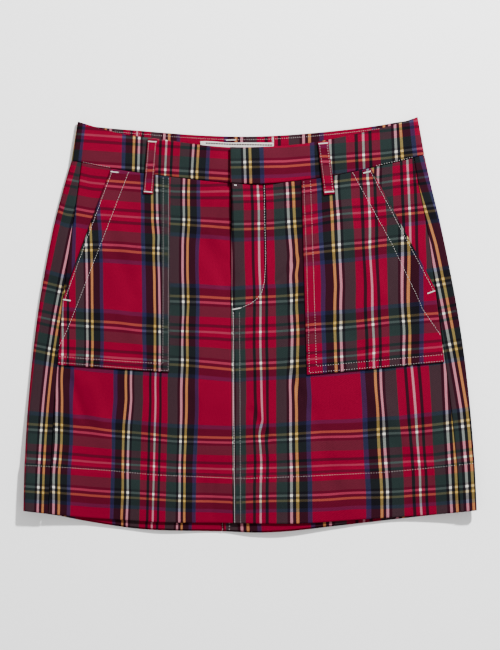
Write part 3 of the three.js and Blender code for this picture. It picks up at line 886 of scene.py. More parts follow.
class SKIRT_OT_backs(bpy.types.Operator):
    """The two back panels, from the centre-back seam round the side folds to the side seams"""

    bl_idname = "skirt.backs"
    bl_label = "Back Panels"

    def execute(self, context):
        self.back("back_right", -1, fold_right, seam_right, 208)
        self.back("back_left", 1, fold_left, seam_left, 254)
        return {"FINISHED"}

    def back(self, name, side, fold, seam, width):
        """One back panel. `side` is -1 for the right and 1 for the left."""
        underside = edged(width, 3.6)[:-4]
        top = np.array([21, 18, 15, 12, 9, 6, 3.5, 1.2, 0.6, 0.25, 0.0]) / 24
        n_under, turns = len(underside), 12
        stripe, places, pitch_under, pitch_over = FOLD_THREADS[name]

        def place(a, up):
            # Columns run from the centre back, under the skirt, round the fold and to the seam.
            column = np.rint(a).astype(int)
            fold_x = fold(up)
            roll_x = fold_x - side * FOLD_REACH
            seam_x = seam(up) + side * SEAM_GAP / 2
            middle = centre_back(up) + side * SEAM_GAP / 2
            on_under, on_top = column < n_under, column > n_under + turns
            turn = np.clip((column - n_under) / turns, 0, 1) * math.pi

            under_x = mix(middle, roll_x, underside[np.minimum(column, n_under - 1)])
            top_share = top[np.clip(column - n_under - turns - 1, 0, len(top) - 1)]
            top_x = mix(seam_x, roll_x, top_share)
            rolled_x = roll_x + side * FOLD_REACH * np.sin(turn)
            x = np.where(on_under, under_x, np.where(on_top, top_x, rolled_x))
            along = front_y(x, up)
            y = np.where(on_under, back_y(x, up), along)

            under_z = back_rise(x, y, up) + rolled_edge(np.abs(x - middle), 0.9)
            head = front_outer(roll_x, up)
            foot = back_rise(roll_x, front_y(roll_x, up), up)
            rolled_z = (head + foot) / 2 - (head - foot) / 2 * np.cos(turn)
            # The seam allowance lies under the cloth as far as 8 mm from the seam.
            from_seam = np.abs(x - seam_x)
            allowance = 0.35 * fade_past(from_seam - 8, 3)
            soft = crease_height(x, along) + hem_relief(x, along) + waist_relief(x, up)
            near_roll = fade_past(5 - np.abs(x - fold_x), 5)
            top_z = front_outer(x, up) + allowance - rolled_edge(from_seam, 0.9)
            top_z = top_z + soft * near_roll * 0.6
            z = np.where(on_under, under_z, np.where(on_top, top_z, rolled_z))
            z = z + rolled_edge(up * PANEL_LENGTH, 1.0) * np.cos(turn)

            # Threads are counted from the side fold, inwards on both sides of it.
            inward = np.abs(x - fold_x)
            at_fold = stripe - stretched(y, *zip(*places)) / pitch_over
            warp = np.where(
                turn < math.pi / 2, at_fold - inward / pitch_under, at_fold + inward / pitch_over
            )
            return x, y, z, warp, weft_of(x, y + (1.0 if side < 0 else 0))

        lay_cloth(
            name, np.arange(n_under + turns + 1 + len(top)), edged(BACK_LENGTH, 3.4), place,
            CLOTH + HEM_EXTRA, thin=hem_layers, flip=side > 0,
        )


class SKIRT_OT_fronts(bpy.types.Operator):
    """The two front panels and their lapped fly edge"""

    bl_idname = "skirt.fronts"
    bl_label = "Front Panels"

    def execute(self, context):
        half = SEAM_GAP / 2
        self.front("front_right", lambda up: seam_right(up) + half,
                   lambda up: centre_front(up) - half, 183, 0.7)
        self.front("front_left", lambda up: centre_front(up) + half,
                   lambda up: seam_left(up) - half, 226, 0)
        return {"FINISHED"}

    def front(self, name, first_edge, last_edge, width, drop):
        """One panel. `drop` is how much lower its weft lies at the first edge."""

        def place(a, up):
            left, right = first_edge(up), last_edge(up)
            x = mix(left, right, a)
            y = front_y(x, up)
            z = front_face(name, x, y, up)
            lowest = back_rise(x, y, up) + hem_thickness(up) + 0.15
            under = np.maximum(z - hem_thickness(up), lowest)
            z = z - rolled_edge(x - left) - rolled_edge(right - x, 1.0)
            z = np.maximum(z - rolled_edge(up * PANEL_LENGTH), under + 0.1)
            across, upward = crease_pull(x, y)
            upward = upward - drop * fade(x - left, 18)
            return x, y, z, warp_of(name, x + across, y), weft_of(x, y + upward), under

        lay_cloth(
            name, edged(width, 2.4), edged(PANEL_LENGTH, 2.8), place, CLOTH + HEM_EXTRA,
            thin=hem_layers,
        )


def front_face(name, x, y, up):
    """A front panel's outer face, without its rolled edges."""
    lift = fly_lift(x, up) if name == "front_left" else 0
    return front_outer(x, up) + lift + panel_relief(name, x, y, up)


# The fly's J of stitching: x, y down from the waist
FLY_J = (
    (14.3, 140.5), (14.5, 109.3), (15.4, 82.5), (15.6, 60.2), (14.3, 42.3), (11.6, 32.5),
    (7.0, 26.2), (0.0, 21.0), (-9.0, 17.3), (-17.6, 15.4),
)


def panel_relief(name, x, y, up):
    """Relief of a front panel: creases, the hem's and waist's pull, and what lies under it."""
    z = crease_height(x, y) + hem_relief(x, y) + waist_relief(x, up)
    from_centre = x - centre_front(up)
    if name == "front_left":
        away = distance_to_path(x, y, FLY_J)
        z = z + pucker(y, away, reach=4.5, pitch=10, seed=1.3)
        inside = (y > 16) & (x < 15)
        z = z + np.where(inside, 0.25 * smooth(away / 3), 0)
        below = smooth((18 - y) / 8)
        z = z + below * 0.55 * fade_past(from_centre - 7.5, 2.4)
        for line in (2.3, 8.4):
            z = z + below * pucker(y, from_centre - line, reach=2.2, pitch=8, seed=line)
    else:
        z = z - 0.9 * fade(from_centre + 1, 15) * smooth((y - 10) / 20)
    return z


class SKIRT_OT_pockets(bpy.types.Operator):
    """The two patch pockets, their slanted openings standing slightly open"""

    bl_idname = "skirt.pockets"
    bl_label = "Pockets"

    def execute(self, context):
        self.pocket("right", 112)
        self.pocket("left", 140)
        return {"FINISHED"}

    def pocket(self, side, width):
        """One pocket, as wide as this in millimetres."""
        corners = ("outer", "slant_end", "slant_top", "inner", "inner_top")
        outer, end, top, inner, inner_top = (POCKETS[side][corner] for corner in corners)
        name, base = f"pocket_{side}", f"front_{side}"

        def place(a, b):
            # Rows climb the outer edge to the slant's end, then the slant. Columns run in +X.
            climb = b * (top[1] - outer[1]) + outer[1]
            straight = climb < end[1]
            edge_x = np.where(
                straight, mix(outer[0], end[0], (climb - outer[1]) / (end[1] - outer[1])),
                mix(end[0], top[0], (climb - end[1]) / (top[1] - end[1])),
            )
            far_x, far_y = mix(inner[0], inner_top[0], b), mix(inner[1], inner_top[1], b)
            share = 1 - a if side == "left" else a
            x = mix(edge_x, far_x, share)
            flat_y = mix(climb, far_y, share)
            seam = waist_front(x) - SEAM_GAP
            straight_top = mix(top[1], inner_top[1], (x - top[0]) / (inner_top[0] - top[0]))
            y = flat_y + (seam - straight_top) * smooth(
                (flat_y - inner[1]) / (inner_top[1] - inner[1])
            )
            up = front_up(x, y)
            z = front_outer(x, up) + (fly_lift(x, up) if side == "left" else 0) + SEAM_GAP + CLOTH
            z = z + panel_relief(base, x, y, up) * 0.8
            slant = np.clip((climb - end[1]) / (top[1] - end[1]), 0, 1)
            from_edge = np.abs(x - edge_x)
            gape = POCKET_GAPE * np.sin(math.pi * slant) * fade(from_edge, POCKET_GAPE_REACH)
            z = z + np.where(straight, 0, gape)
            from_inner, from_foot = np.abs(x - far_x), b * POCKET_DEPTH
            # Turned-in edges stand a little higher, out to the second row of stitching.
            z = z + 0.4 * fade_past(np.minimum(from_inner, from_foot) - 6.5, 2.2)
            for line in (1.6, 7.2):
                z = z + pucker(y, from_inner - line, reach=2.4, pitch=8, seed=line)
                z = z + pucker(x, from_foot - line - 0.8, reach=2.4, pitch=8, seed=2 * line)
            z = z + np.where(straight, 0, pucker(y, from_edge - 2.2, reach=2.2, pitch=9, seed=5))
            z = z + 0.3 * fade(from_edge - 1.0, 3.0) * np.where(straight, 0, 1)
            under = np.maximum(z - CLOTH, front_face(base, x, y, up) + SEAM_GAP)
            for distance in (from_edge, from_inner, from_foot):
                z = z - rolled_edge(distance, 1.0)
            z = np.maximum(z, under + 0.1)
            across, upward = crease_pull(x, y)
            warp = warp_of(name, x + across, y)
            return x, y, z, warp, pocket_weft(side, x, y + upward), under

        lay_cloth(name, edged(width, 2.2), edged(POCKET_LENGTH, 2.4), place, CLOTH)


class SKIRT_OT_waistband(bpy.types.Operator):
    """One waistband all round, lapped left over right"""

    bl_idname = "skirt.waistband"
    bl_label = "Waistband"

    def execute(self, context):
        lap_x = float(centre_front(1.0))
        lap_edge = lap_x - 0.9  # the band's end reaches a little past the fly's edge
        lap_reach, lap_slope = 34, 24
        lap_height = BAND + SEAM_GAP
        turns = 10
        # Stretches of the strip from the lap's end: left front, left fold, back, right fold,
        # right front as far as under the lap.
        left = edged(190, 2.6)[:-4]
        back = np.linspace(0, 1, 118)[1:-1]
        right = edged(160, 2.6)[4:]
        starts = np.cumsum([0, len(left), turns + 1, len(back), turns + 1, len(right)])

        def stretch_of(column):
            return np.clip(np.searchsorted(starts, column, side="right") - 1, 0, 4)

        def place(a, rise):
            column = np.rint(a).astype(int)
            part = stretch_of(column)
            at = column - starts[part]
            fold_r = mix(float(fold_right(1.0)), BAND_FOLD_RIGHT, rise)
            fold_l = mix(float(fold_left(1.0)), BAND_FOLD_LEFT, rise)
            roll_r, roll_l = fold_r + FOLD_REACH, fold_l - FOLD_REACH
            share = lambda table: table[np.clip(at, 0, len(table) - 1)]
            left_x = mix(lap_edge, roll_l, share(left))
            back_x = mix(roll_l, roll_r, share(back))
            right_x = mix(roll_r, lap_x + lap_reach - 4, share(right))
            turn = np.clip(at / turns, 0, 1) * math.pi
            roll_left_x = roll_l + FOLD_REACH * np.sin(turn)
            roll_right_x = roll_r - FOLD_REACH * np.sin(turn)
            x = np.choose(part, [left_x, roll_left_x, back_x, roll_right_x, right_x])
            front_band = mix(waist_front(x), band_top_front(x), rise)
            back_band = mix(waist_back(x), band_top_back(x), rise)
            back_band = mix(front_band, back_band, back_share(x, fold_r, fold_l))
            y = np.where(part == 2, back_band, front_band)

            def under(value):
                mouth = 0.5 * rise * fade(value - lap_x, 120)
                return front_under(value, np.ones_like(value)) - BAND_SINK + mouth

            lap = lap_height * fade_past(x - lap_x - lap_reach, lap_slope)
            lap = lap + LAP_CURL * fade(x - lap_x, LAP_CURL_WIDTH)
            left_z, right_z = under(x) + BAND + lap, under(x) + BAND
            # The under end sinks a little where the lap bears on it.
            right_z = right_z - 0.6 * fade(x - lap_x, 13)
            top_l, top_r = under(roll_l) + BAND, under(roll_r) + BAND
            z = np.choose(
                part,
                [left_z, top_l / 2 + top_l / 2 * np.cos(turn), loop_rise(x, waist_back(x)),
                 top_r / 2 - top_r / 2 * np.cos(turn), right_z],
            )
            # Puffed between its two edges, pulled in by the stitching along both.
            puff = 0.45 * np.sin(math.pi * np.clip(rise, 0, 1)) ** 0.7
            ripple = 0.12 * np.sin(x / 6.5 + 1.3 * np.sin(x / 19))
            pull = ripple * fade(np.minimum(rise, 1 - rise), 0.3)
            face = puff + pull + 0.25 * uneven(x, y, 26, 13, 5.5) - 0.3
            on_front = (part == 0) | (part == 4)
            z = z + np.where(on_front, face, 0)
            z = z - np.where(on_front, rolled_edge(rise * BAND_DEPTH, 0.9), 0)
            z = z - np.where(part == 0, rolled_edge(x - lap_edge, 1.0), 0)
            self.grid = (x, y)
            return x, y, z, self.counts, None

        self.stretch_of = stretch_of
        lay_cloth(
            "waistband", np.arange(int(starts[-1])), edged(37.5, 2.3, NARROW), place, BAND,
            bevel=0.5,
        )
        return {"FINISHED"}

    def counts(self, face_column, column, row):
        """The sett's counts at a corner, by the stretch of the strip that its face is in."""
        x, y = (grid[row, column] for grid in self.grid)
        left_y = stretched(x, (-10, 35, 135, 175), (162.6, 163.7, 172, 177))
        left = warp_of("band_left", x, y), 30.4 + (left_y - y) / 0.93
        back = warp_of("band_back", x, y), 66 + (band_top_back(x) - y)
        right = warp_of("band_right", x, y), (190.4 - 0.064 * (x + 167) - y) / 0.98
        part = self.stretch_of(face_column)
        return [np.choose(part, counts) for counts in zip(left, left, back, right, right)]


def band_face(x):
    """The waistband's outer face in the middle of its depth, off the table."""
    return float(front_under(x, 1.0)) - BAND_SINK + BAND


class SKIRT_OT_loops(bpy.types.Operator):
    """Belt loops: two on the front, bowed over the waistband, and one behind"""

    bl_idname = "skirt.loops"
    bl_label = "Belt Loops"

    def execute(self, context):
        for side, (top, foot, width) in LOOPS.items():
            name = f"loop_front_{side}"
            band_top = band_face(top[0]) + 0.5
            seat = float(front_outer(foot[0], front_up(*foot))) + SEAM_GAP + CLOTH

            def place(a, b, top=top, foot=foot, width=width, side=side):
                # Columns run across in +X, rows from the foot to the top.
                middle_x, middle_y = mix(foot[0], top[0], b), mix(foot[1], top[1], b)
                offset = (a - 0.5) * width
                tilt = (top[0] - foot[0]) / (top[1] - foot[1])
                x, y = middle_x + offset, middle_y - offset * tilt
                z = mix(seat, band_top, smooth(b)) + 2 * SEAM_GAP + LOOP_THICK
                z = z + LOOP_BOW * np.sin(math.pi * b)
                under = z - LOOP_THICK
                z = z - rolled_edge(a * width, 1.0) - rolled_edge((1 - a) * width, 1.0)
                z = z + 0.3 * fade(np.minimum(b, 1 - b) * LOOP_LENGTH - 3, 4)
                for line in (1.7, width - 1.7):
                    z = z - 0.14 * fade(a * width - line, 1.0)
                for end in (b, 1 - b):
                    z = z - rolled_edge(end * LOOP_LENGTH)
                warp = 70.6 + offset
                weft = (134 - y) / 0.96 if side == "left" else 30.4 + (160 - y)
                return x, y, np.maximum(z, under + 0.1), warp, weft, under

            lay_cloth(name, edged(width, 1.6, NARROW), edged(LOOP_LENGTH, 1.8), place, LOOP_THICK)
        self.behind()
        return {"FINISHED"}

    def behind(self):
        """The loop behind lies on the table; its outer face is down."""
        high = float(band_top_back(LOOP_BACK_X)) - 1
        low = float(waist_back(LOOP_BACK_X)) - LOOP_TAIL
        width = LOOP_BACK_WIDTH

        def place(a, b):
            x = LOOP_BACK_X + (0.5 - a) * width
            y = mix(low, high, b)
            z = rolled_edge(a * width, 1.0) + rolled_edge((1 - a) * width, 1.0)
            for line in (1.7, width - 1.7):
                z = z + 0.14 * fade(a * width - line, 1.0)
            return x, y, np.minimum(z, 0.9), 70.6 + x - LOOP_BACK_X, 40 - y

        lay_cloth("loop_back", edged(width, 1.6, NARROW), edged(54, 1.8), place, LOOP_THICK)


class SKIRT_OT_label(bpy.types.Operator):
    """The blank tape label inside the back waistband"""

    bl_idname = "skirt.label"
    bl_label = "Label"

    def execute(self, context):
        width = LABEL["left"] - LABEL["right"]

        def place(a, b):
            x = mix(LABEL["right"], LABEL["left"], a)
            y = LABEL["top"] + 0.4 - (1 - b) * LABEL["depth"] - 1.5 * smooth((a - 0.07) * 3)
            z = loop_rise(x, waist_back(x)) + BAND + SEAM_GAP + LABEL["thick"]
            # Both ends are folded under, which stands them a little higher.
            ends = fade_past(np.minimum(a, 1 - a) * width - 5, 1.2)
            z = z - 0.45 + 0.25 * ends - 0.2 * rolled_edge((1 - b) * LABEL["depth"], 0.7)
            return x, y, z, x, y

        ends = (0.0, 0.3)
        lay_cloth(
            "label", edged(width, 1.6, ends), edged(LABEL["depth"], 1.2, ends), place, 0.7,
            bevel=0.15, finish="tape",
        )
        return {"FINISHED"}


# Stitching
STITCH_GAP = 0.66  # share of a stitch's length that is down in the cloth
STEP_LIMIT = 1.6  # a stitch that climbs more would hang over an edge, and is left out
# Rows whose stitches lie closer, and how thick their thread looks beside the others
CLOSE_GAP = 0.3
CLOSE_ROWS = {
    "fly": 0.8, "centre_near": 1.2, "pocket_right_slant": 0.66, "pocket_right_facing": 0.62,
    "pocket_left_slant": 0.62, "pocket_left_facing": 0.6,
}
LABEL_THREAD = 1.5  # the label is sewn with a thick bulked thread
# Rows of topstitching: the piece they are sewn through, and their points
TOPSTITCH = {
    "hem": (("back_right", "front_right", "front_left", "back_left"), (
        (-225.0, -139.8), (-180, -142.6), (-138.4, -145.7), (-97, -149.7), (-17.2, -153.3),
        (0, -153.3), (59, -151), (135.5, -147.3), (175.4, -143.3), (223.4, -137.9))),
    "fly": (("front_left",), FLY_J),
    "centre_near": (("front_left",), ((-16.6, 13.0), (-16.3, -75), (-15.3, -198))),
    "centre_far": (("front_left",), ((-10.6, 13.0), (-10.0, -75), (-9.4, -198))),
    "pocket_right_slant": (("pocket_right",), ((-137.6, 154.6), (-161.4, 90), (-185.2, 25.4))),
    "pocket_right_facing": (("pocket_right",), (
        (-121.2, 153.3), (-150, 79), (-182.2, -3.7), (-192.0, -24))),
    "pocket_right_inner": (("pocket_right",), ((-81.4, 147.3), (-81.6, 50), (-81.8, -45.6))),
    "pocket_right_inner_2": (("pocket_right",), ((-86.7, 147.9), (-86.9, 50), (-87.2, -38.6))),
    "pocket_right_foot": (("pocket_right",), (
        (-192.0, -37.4), (-154.3, -40.6), (-105.7, -44.6), (-81.8, -45.7))),
    "pocket_right_foot_2": (("pocket_right",), (
        (-191.4, -31.4), (-154.3, -34.4), (-105.7, -37.6), (-87.2, -38.7))),
    "pocket_left_slant": (("pocket_left",), ((119.6, 155.2), (151.4, 94.6), (183.4, 34.8))),
    "pocket_left_facing": (("pocket_left",), (
        (102.2, 153.0), (141, 83), (167, 29), (172.5, 16), (190.5, -10.2))),
    "pocket_left_inner": (("pocket_left",), ((53.7, 144.2), (56.8, 60), (59.4, -47.6))),
    "pocket_left_inner_2": (("pocket_left",), ((60.4, 144.8), (63.4, 60), (66.4, -41.0))),
    "pocket_left_foot": (("pocket_left",), ((59.4, -47.8), (111.6, -43.3), (193.2, -35.9))),
    "pocket_left_foot_2": (("pocket_left",), ((66.6, -41.2), (111.6, -36.9), (192.6, -29.6))),
    "loop_right_1": (("loop_front_right",), ((-100.9, 185.0), (-105.4, 131.8))),
    "loop_right_2": (("loop_front_right",), ((-94.0, 184.6), (-98.5, 131.4))),
    "loop_left_1": (("loop_front_left",), ((69.1, 182.4), (75.4, 131.2))),
    "loop_left_2": (("loop_front_left",), ((76.9, 182.8), (83.1, 131.6))),
    "label_middle": (("label",), ((-44.5, 182.2), (-20, 180.9), (22.6, 180.2))),
    "back_inside_1": (("back_right", "back_left"), ((-27.4, -197), (-27.4, -206))),
    "back_inside_2": (("back_right", "back_left"), ((-20.7, -197), (-20.7, -206))),
}
# Rows that follow the waistband's edges: how far in from the edge, and from x to x
BAND_ROWS = {
    "band_seam_right": ("waistband", "seam", 0.9, -167.5, -139.5),
    "band_seam_left": ("waistband", "seam", 0.9, 125.5, 163.0),
    "band_inside": ("waistband", "inside", 3.2, -168.5, 164.5),
    "back_hem": ("back", "hem", 46, -222.0, 222.0),
}
# Bar tacks: the piece, then one end and the other
BAR_TACKS = (
    ("pocket_right", (-139.2, 153.3), (-131.6, 152.4)),
    ("pocket_right", (-186.9, 25.4), (-179.3, 24.2)),
    ("pocket_left", (113.2, 151.8), (120.8, 153.6)),
    ("pocket_left", (177.4, 31.4), (184.9, 34.2)),
    ("front_left", (-17.6, 15.4), (-9.6, 16.9)),
    ("loop_front_right", (-101.9, 183.5), (-93.4, 182.9)),
    ("loop_front_right", (-106.0, 133.4), (-97.7, 132.6)),
    ("loop_front_left", (68.3, 181.0), (77.8, 181.8)),
    ("loop_front_left", (74.6, 132.6), (84.0, 133.4)),
    ("front_left", (-15.8, 139.6), (-13.2, 139.4)),
    ("waistband inside", (-24.0, 185.0), (-14.4, 185.2)),
    ("waistband inside", (22.8, 187.6), (23.3, 183.2)),
)

# The pieces of thread, and how the names of their rows begin
STITCH_GROUPS = {
    "topstitching_hem": ("hem", "back_hem"),
    "topstitching_fly": ("fly", "centre_near", "centre_far"),
    "topstitching_pocket_right": ("pocket_right",),
    "topstitching_pocket_left": ("pocket_left",),
    "topstitching_waistband": ("band",),
    "topstitching_loops": ("loop",),
    "stitching_label": ("label",),
    "topstitching_back": ("centre_back", "back_inside"),
}


class SKIRT_OT_stitching(bpy.types.Operator):
    """Rows of topstitching and the bar tacks"""

    bl_idname = "skirt.stitching"
    bl_label = "Stitching"

    def execute(self, context):
        self.template = self.one_stitch()
        self.trees = {}
        sizes = context.scene.skirt_sizes
        thread, length = sizes.thread, sizes.stitch
        rows = {}
        for name, (targets, points) in TOPSTITCH.items():
            width, gap = (LABEL_THREAD, 0.1) if targets == ("label",) else (thread, STITCH_GAP)
            if name in CLOSE_ROWS:
                width, gap = thread * CLOSE_ROWS[name], CLOSE_GAP
            rows[name] = self.row(targets, points, length, width, True, gap=gap)
        for name, (target, edge, inset, x0, x1) in BAND_ROWS.items():
            xs = np.linspace(x0, x1, 60)
            if edge == "seam":
                ys, above, step = waist_front(xs) + inset, True, length
            elif edge == "inside":
                ys, above, step = band_top_back(xs) - inset, True, 2.2
            else:
                ys, above, step = back_y(xs, HEM_SHARE), False, length
            targets = ("waistband",) if target == "waistband" else ("back_right", "back_left")
            rows[name] = self.row(
                targets, list(zip(xs, ys)), step, thread, above, inner=edge == "inside"
            )
        for i, line in enumerate((1.6, 7.4)):
            ups = np.linspace(0.004, 0.99, 24)
            xs = centre_back(ups) + line
            rows[f"centre_back_{i + 1}"] = self.row(
                ("back_left",), list(zip(xs, back_y(xs, ups))), length, thread, False
            )
        for group, names in STITCH_GROUPS.items():
            stitches = [stitch for name in rows if name.startswith(names) for stitch in rows[name]]
            self.gather(group, stitches, "dark_thread" if group == "stitching_label" else "thread")
        tacks = []
        for target, start, end in BAR_TACKS:
            tacks += self.bar_tack(target, start, end, thread)
        self.gather("bar_tacks", tacks)
        return {"FINISHED"}

    def one_stitch(self):
        """One stitch along X, 1 unit long and 1 wide: a thread that dives at both ends."""
        stitch = start_mesh(
            "stitch", bpy.ops.mesh.primitive_cylinder_add, vertices=6, radius=0.5, depth=1,
            rotation=(0, math.pi / 2, 0), end_fill_type="TRIFAN",
        )
        bpy.ops.object.transform_apply(rotation=True)
        bpy.ops.object.mode_set(mode="EDIT")
        for share in (-0.38, 0.0, 0.38):
            bpy.ops.mesh.select_all(action="SELECT")
            bpy.ops.mesh.bisect(plane_co=(share, 0, 0), plane_no=(1, 0, 0))
        bpy.ops.object.mode_set(mode="OBJECT")
        mesh = stitch.data
        co = np.array([v.co[:] for v in mesh.vertices])
        width = np.interp(np.abs(co[:, 0]), (0, 0.38, 0.5), (1.0, 0.92, 0.45))
        co[:, 1] *= width
        co[:, 2] *= width * 0.8
        faces = [tuple(p.vertices) for p in mesh.polygons]
        mesh.name = "spare"
        bpy.data.objects.remove(stitch)
        return co, faces

    def surface(self, target):
        """A piece of cloth as a tree that rays can be cast at."""
        if target not in self.trees:
            mesh = PIECES[target].data
            self.trees[target] = BVHTree.FromPolygons(
                [v.co[:] for v in mesh.vertices], [tuple(p.vertices) for p in mesh.polygons]
            )
        return self.trees[target]

    def height(self, targets, x, y, above, inner=False):
        """The height of the cloth at a point, from above or below, or of the skirt's inside.
        Three rays, close together, so that none slips between two faces."""
        found, up = [], Vector((0, 0, 1))
        for target in targets:
            tree = self.surface(target)
            for dx, dy in ((0, 0), (0.05, 0.03), (-0.04, 0.05)):
                below = Vector(((x + dx) * MM, (y + dy) * MM, -0.05))
                if inner:
                    outside = tree.ray_cast(below, up)[0]
                    hit = outside and tree.ray_cast(outside + up * 0.0003, up)[0]
                elif above:
                    hit = tree.ray_cast(below + up * 0.1, -up)[0]
                else:
                    hit = tree.ray_cast(below, up)[0]
                if hit is not None:
                    found.append(hit.z / MM)
        if not found:
            return None
        return max(found) if above or inner else min(found)

    def row(self, targets, points, length, thread, above, inner=False, gap=STITCH_GAP):
        """The stitches of one row, each as its two ends and middle, its width and its way up."""
        points = np.array(points, float)
        run = np.concatenate([[0], np.cumsum(np.hypot(*np.diff(points, axis=0).T))])
        count = max(1, int(round(run[-1] / length)))
        made = []
        for k in range(count):
            ends = np.array([k + gap / 2, k + 0.5, k + 1 - gap / 2]) / count * run[-1]
            xs, ys = np.interp(ends, run, points[:, 0]), np.interp(ends, run, points[:, 1])
            zs = [self.height(targets, x, y, above, inner) for x, y in zip(xs, ys)]
            if None in zs or max(zs) - min(zs) > STEP_LIMIT:
                continue
            made.append((np.stack([xs, ys, zs], axis=1), thread, 1 if above or inner else -1))
        return made

    def bar_tack(self, target, start, end, thread):
        """Close zigzag stitches across a short line."""
        piece, _, inside = target.partition(" ")
        start, end = np.array(start, float), np.array(end, float)
        length = np.hypot(*(end - start))
        along = (end - start) / length
        out = np.array([-along[1], along[0]])
        count = max(4, int(length / 0.42))
        made = []
        for k in range(count):
            middle = start + along * (k + 0.5) / count * length
            lean = along * 0.2 * (1 if k % 2 else -1)
            a, b = middle - out * 0.62 - lean, middle + out * 0.62 + lean
            pts = [a, (a + b) / 2, b]
            zs = [self.height((piece,), p[0], p[1], True, bool(inside)) for p in pts]
            if None in zs:
                continue
            zs = np.maximum(zs, max(zs) - 0.3)
            made.append((np.column_stack([pts, zs + 0.08]), thread * 1.15, 1))
        return made

    def gather(self, name, stitches, shade="thread"):
        """Copies the one stitch along every place into one mesh."""
        if not stitches:
            raise RuntimeError(f"{name} has no stitches")
        co, faces = self.template
        rise = 1 - (np.abs(co[:, 0]) / 0.5) ** 2
        points, polygons = [], []
        t = co[:, 0] + 0.5
        for (a, m, b), width, way in stitches:
            along = (b - a)[:2] / np.linalg.norm((b - a)[:2])
            side = np.array([-along[1], along[0]])
            # A bow through both ends and the middle
            placed = (
                a[None] * ((1 - t) * (1 - 2 * t))[:, None]
                + m[None] * (4 * t * (1 - t))[:, None]
                + b[None] * (t * (2 * t - 1))[:, None]
            )
            placed[:, :2] += side[None] * (co[:, 1] * width)[:, None] * way
            placed[:, 2] += way * (co[:, 2] * width + rise * 0.30 - 0.10)
            polygons += [tuple(i + len(points) * len(co) for i in face) for face in faces]
            points.append(placed)
        everything = np.concatenate(points) * MM
        piece = start_mesh(name, bpy.ops.mesh.primitive_plane_add, size=0.001)
        mesh = bpy.data.meshes.new(name)
        mesh.from_pydata(everything.tolist(), [], polygons)
        mesh.update()
        spare = piece.data
        piece.data = mesh
        bpy.data.meshes.remove(spare)
        mesh.name = name
        bpy.ops.object.shade_smooth()
        mesh.materials.append(finish_of(shade))
        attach(piece, "root")


class SKIRT_OT_cloth_facts(bpy.types.Operator):
    """An empty step: it returns at once and makes nothing"""

    bl_idname = "skirt.cloth_facts"
    bl_label = "Cloth Facts"

    def execute(self, context):
        return {"FINISHED"}


class SKIRT_OT_stage(bpy.types.Operator):
    """The white floor, the lights and the camera straight above"""

    bl_idname = "skirt.stage"
    bl_label = "Stage"

    def execute(self, context):
        floor = start_mesh(
            "floor", bpy.ops.mesh.primitive_plane_add, size=6, location=(0, 0, -0.0004)
        )
        bpy.ops.object.transform_apply(location=True)
        floor.data.materials.append(finish_of("floor"))

        world = bpy.data.worlds.new("Studio")
        world.use_nodes = True
        sky = world.node_tree.nodes["Background"]
        sky.inputs["Color"].default_value = (1, 1, 1, 1)
        sky.inputs["Strength"].default_value = 0.72
        context.scene.world = world

        self.lamp("Key_softbox", (0.84, 1.42, 1.36), 0.14, 142)
        self.lamp("Fill_softbox", (-0.9, -0.8, 1.9), 1.2, 7)

        # The photo is taken from straight above; its 650 px cover 650 mm at the skirt's face.
        height, face, covered = 2.4, 0.005, 0.650
        camera = bpy.data.cameras.new("Camera")
        camera.sensor_fit = "VERTICAL"
        camera.sensor_height = 36
        camera.lens = camera.sensor_height * (height - face) / covered
        holder = bpy.data.objects.new("Camera", camera)
        holder.location = (0, 0, height)
        context.collection.objects.link(holder)
        context.scene.camera = holder
        return {"FINISHED"}

    def lamp(self, name, place, size, power):
        """A square softbox at a place in metres, facing the skirt."""
        light = bpy.data.lights.new(name, "AREA")
        light.size = size
        light.energy = power
        holder = bpy.data.objects.new(name, light)
        holder.location = place
        holder.rotation_euler = (-Vector(place)).to_track_quat("-Z", "Y").to_euler()
        bpy.context.collection.objects.link(holder)


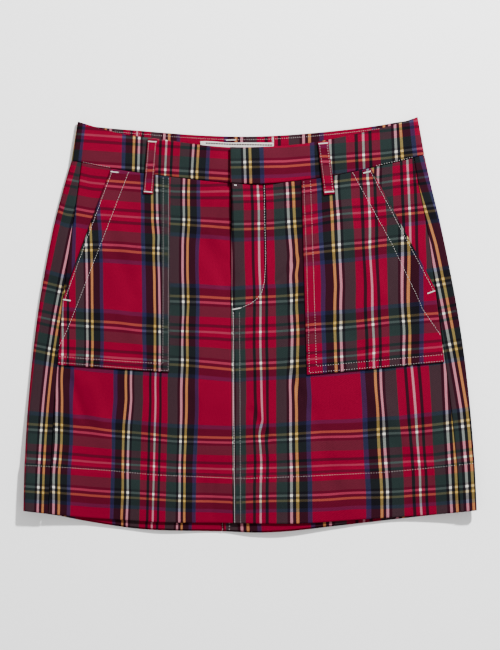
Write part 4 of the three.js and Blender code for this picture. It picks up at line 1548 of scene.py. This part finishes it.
# The add-on
class SkirtSizes(bpy.types.PropertyGroup):
    """Sizes that a user would change, in millimetres"""

    stitch: FloatProperty(
        name="Stitch length", description="Length of a topstitch, in millimetres", default=2.6,
        min=1.5, max=6.0,
    )
    thread: FloatProperty(
        name="Thread", description="Thickness of the topstitching thread, in millimetres",
        default=0.36, min=0.2, max=1.2,
    )


class SkirtColours(bpy.types.PropertyGroup):
    """Colours and depth of the weave that a user would change"""

    thread: FloatVectorProperty(
        name="Thread", description="Colour of the topstitching thread", subtype="COLOR", size=3,
        min=0.0, max=1.0, default=linear("c8c3c0")[:3],
    )
    weave_depth: FloatProperty(
        name="Weave depth", description="How strongly the twill's ribs catch the light",
        default=0.55, min=0.0, max=1.0, subtype="FACTOR",
    )


STEPS = (
    SKIRT_OT_backs, SKIRT_OT_fronts, SKIRT_OT_pockets, SKIRT_OT_waistband, SKIRT_OT_loops,
    SKIRT_OT_label, SKIRT_OT_stitching, SKIRT_OT_cloth_facts, SKIRT_OT_stage,
)


class SKIRT_PT_panel(bpy.types.Panel):
    """Lists the skirt's pieces"""

    bl_idname = "SKIRT_PT_panel"
    bl_label = "Mini Skirt"
    bl_space_type = "VIEW_3D"
    bl_region_type = "UI"
    bl_category = "Skirt"

    def draw(self, context):
        column = self.layout.column()
        for group in (context.scene.skirt_sizes, context.scene.skirt_colours):
            for name in group.bl_rna.properties.keys():
                if name not in ("rna_type", "name"):
                    column.prop(group, name)
        for step in STEPS:
            column.operator(step.bl_idname)


CLASSES = (SkirtSizes, SkirtColours, *STEPS, SKIRT_PT_panel)


def register():
    for cls in CLASSES:
        bpy.utils.register_class(cls)
    bpy.types.Scene.skirt_sizes = PointerProperty(type=SkirtSizes)
    bpy.types.Scene.skirt_colours = PointerProperty(type=SkirtColours)


def unregister():
    del bpy.types.Scene.skirt_colours
    del bpy.types.Scene.skirt_sizes
    for cls in reversed(CLASSES):
        bpy.utils.unregister_class(cls)


def main():
    register()
    bpy.ops.skirt.backs()
    bpy.ops.skirt.fronts()
    bpy.ops.skirt.pockets()
    bpy.ops.skirt.waistband()
    bpy.ops.skirt.loops()
    bpy.ops.skirt.label()
    bpy.ops.skirt.stitching()
    bpy.ops.skirt.cloth_facts()
    bpy.ops.skirt.stage()


if __name__ == "__main__":
    main()
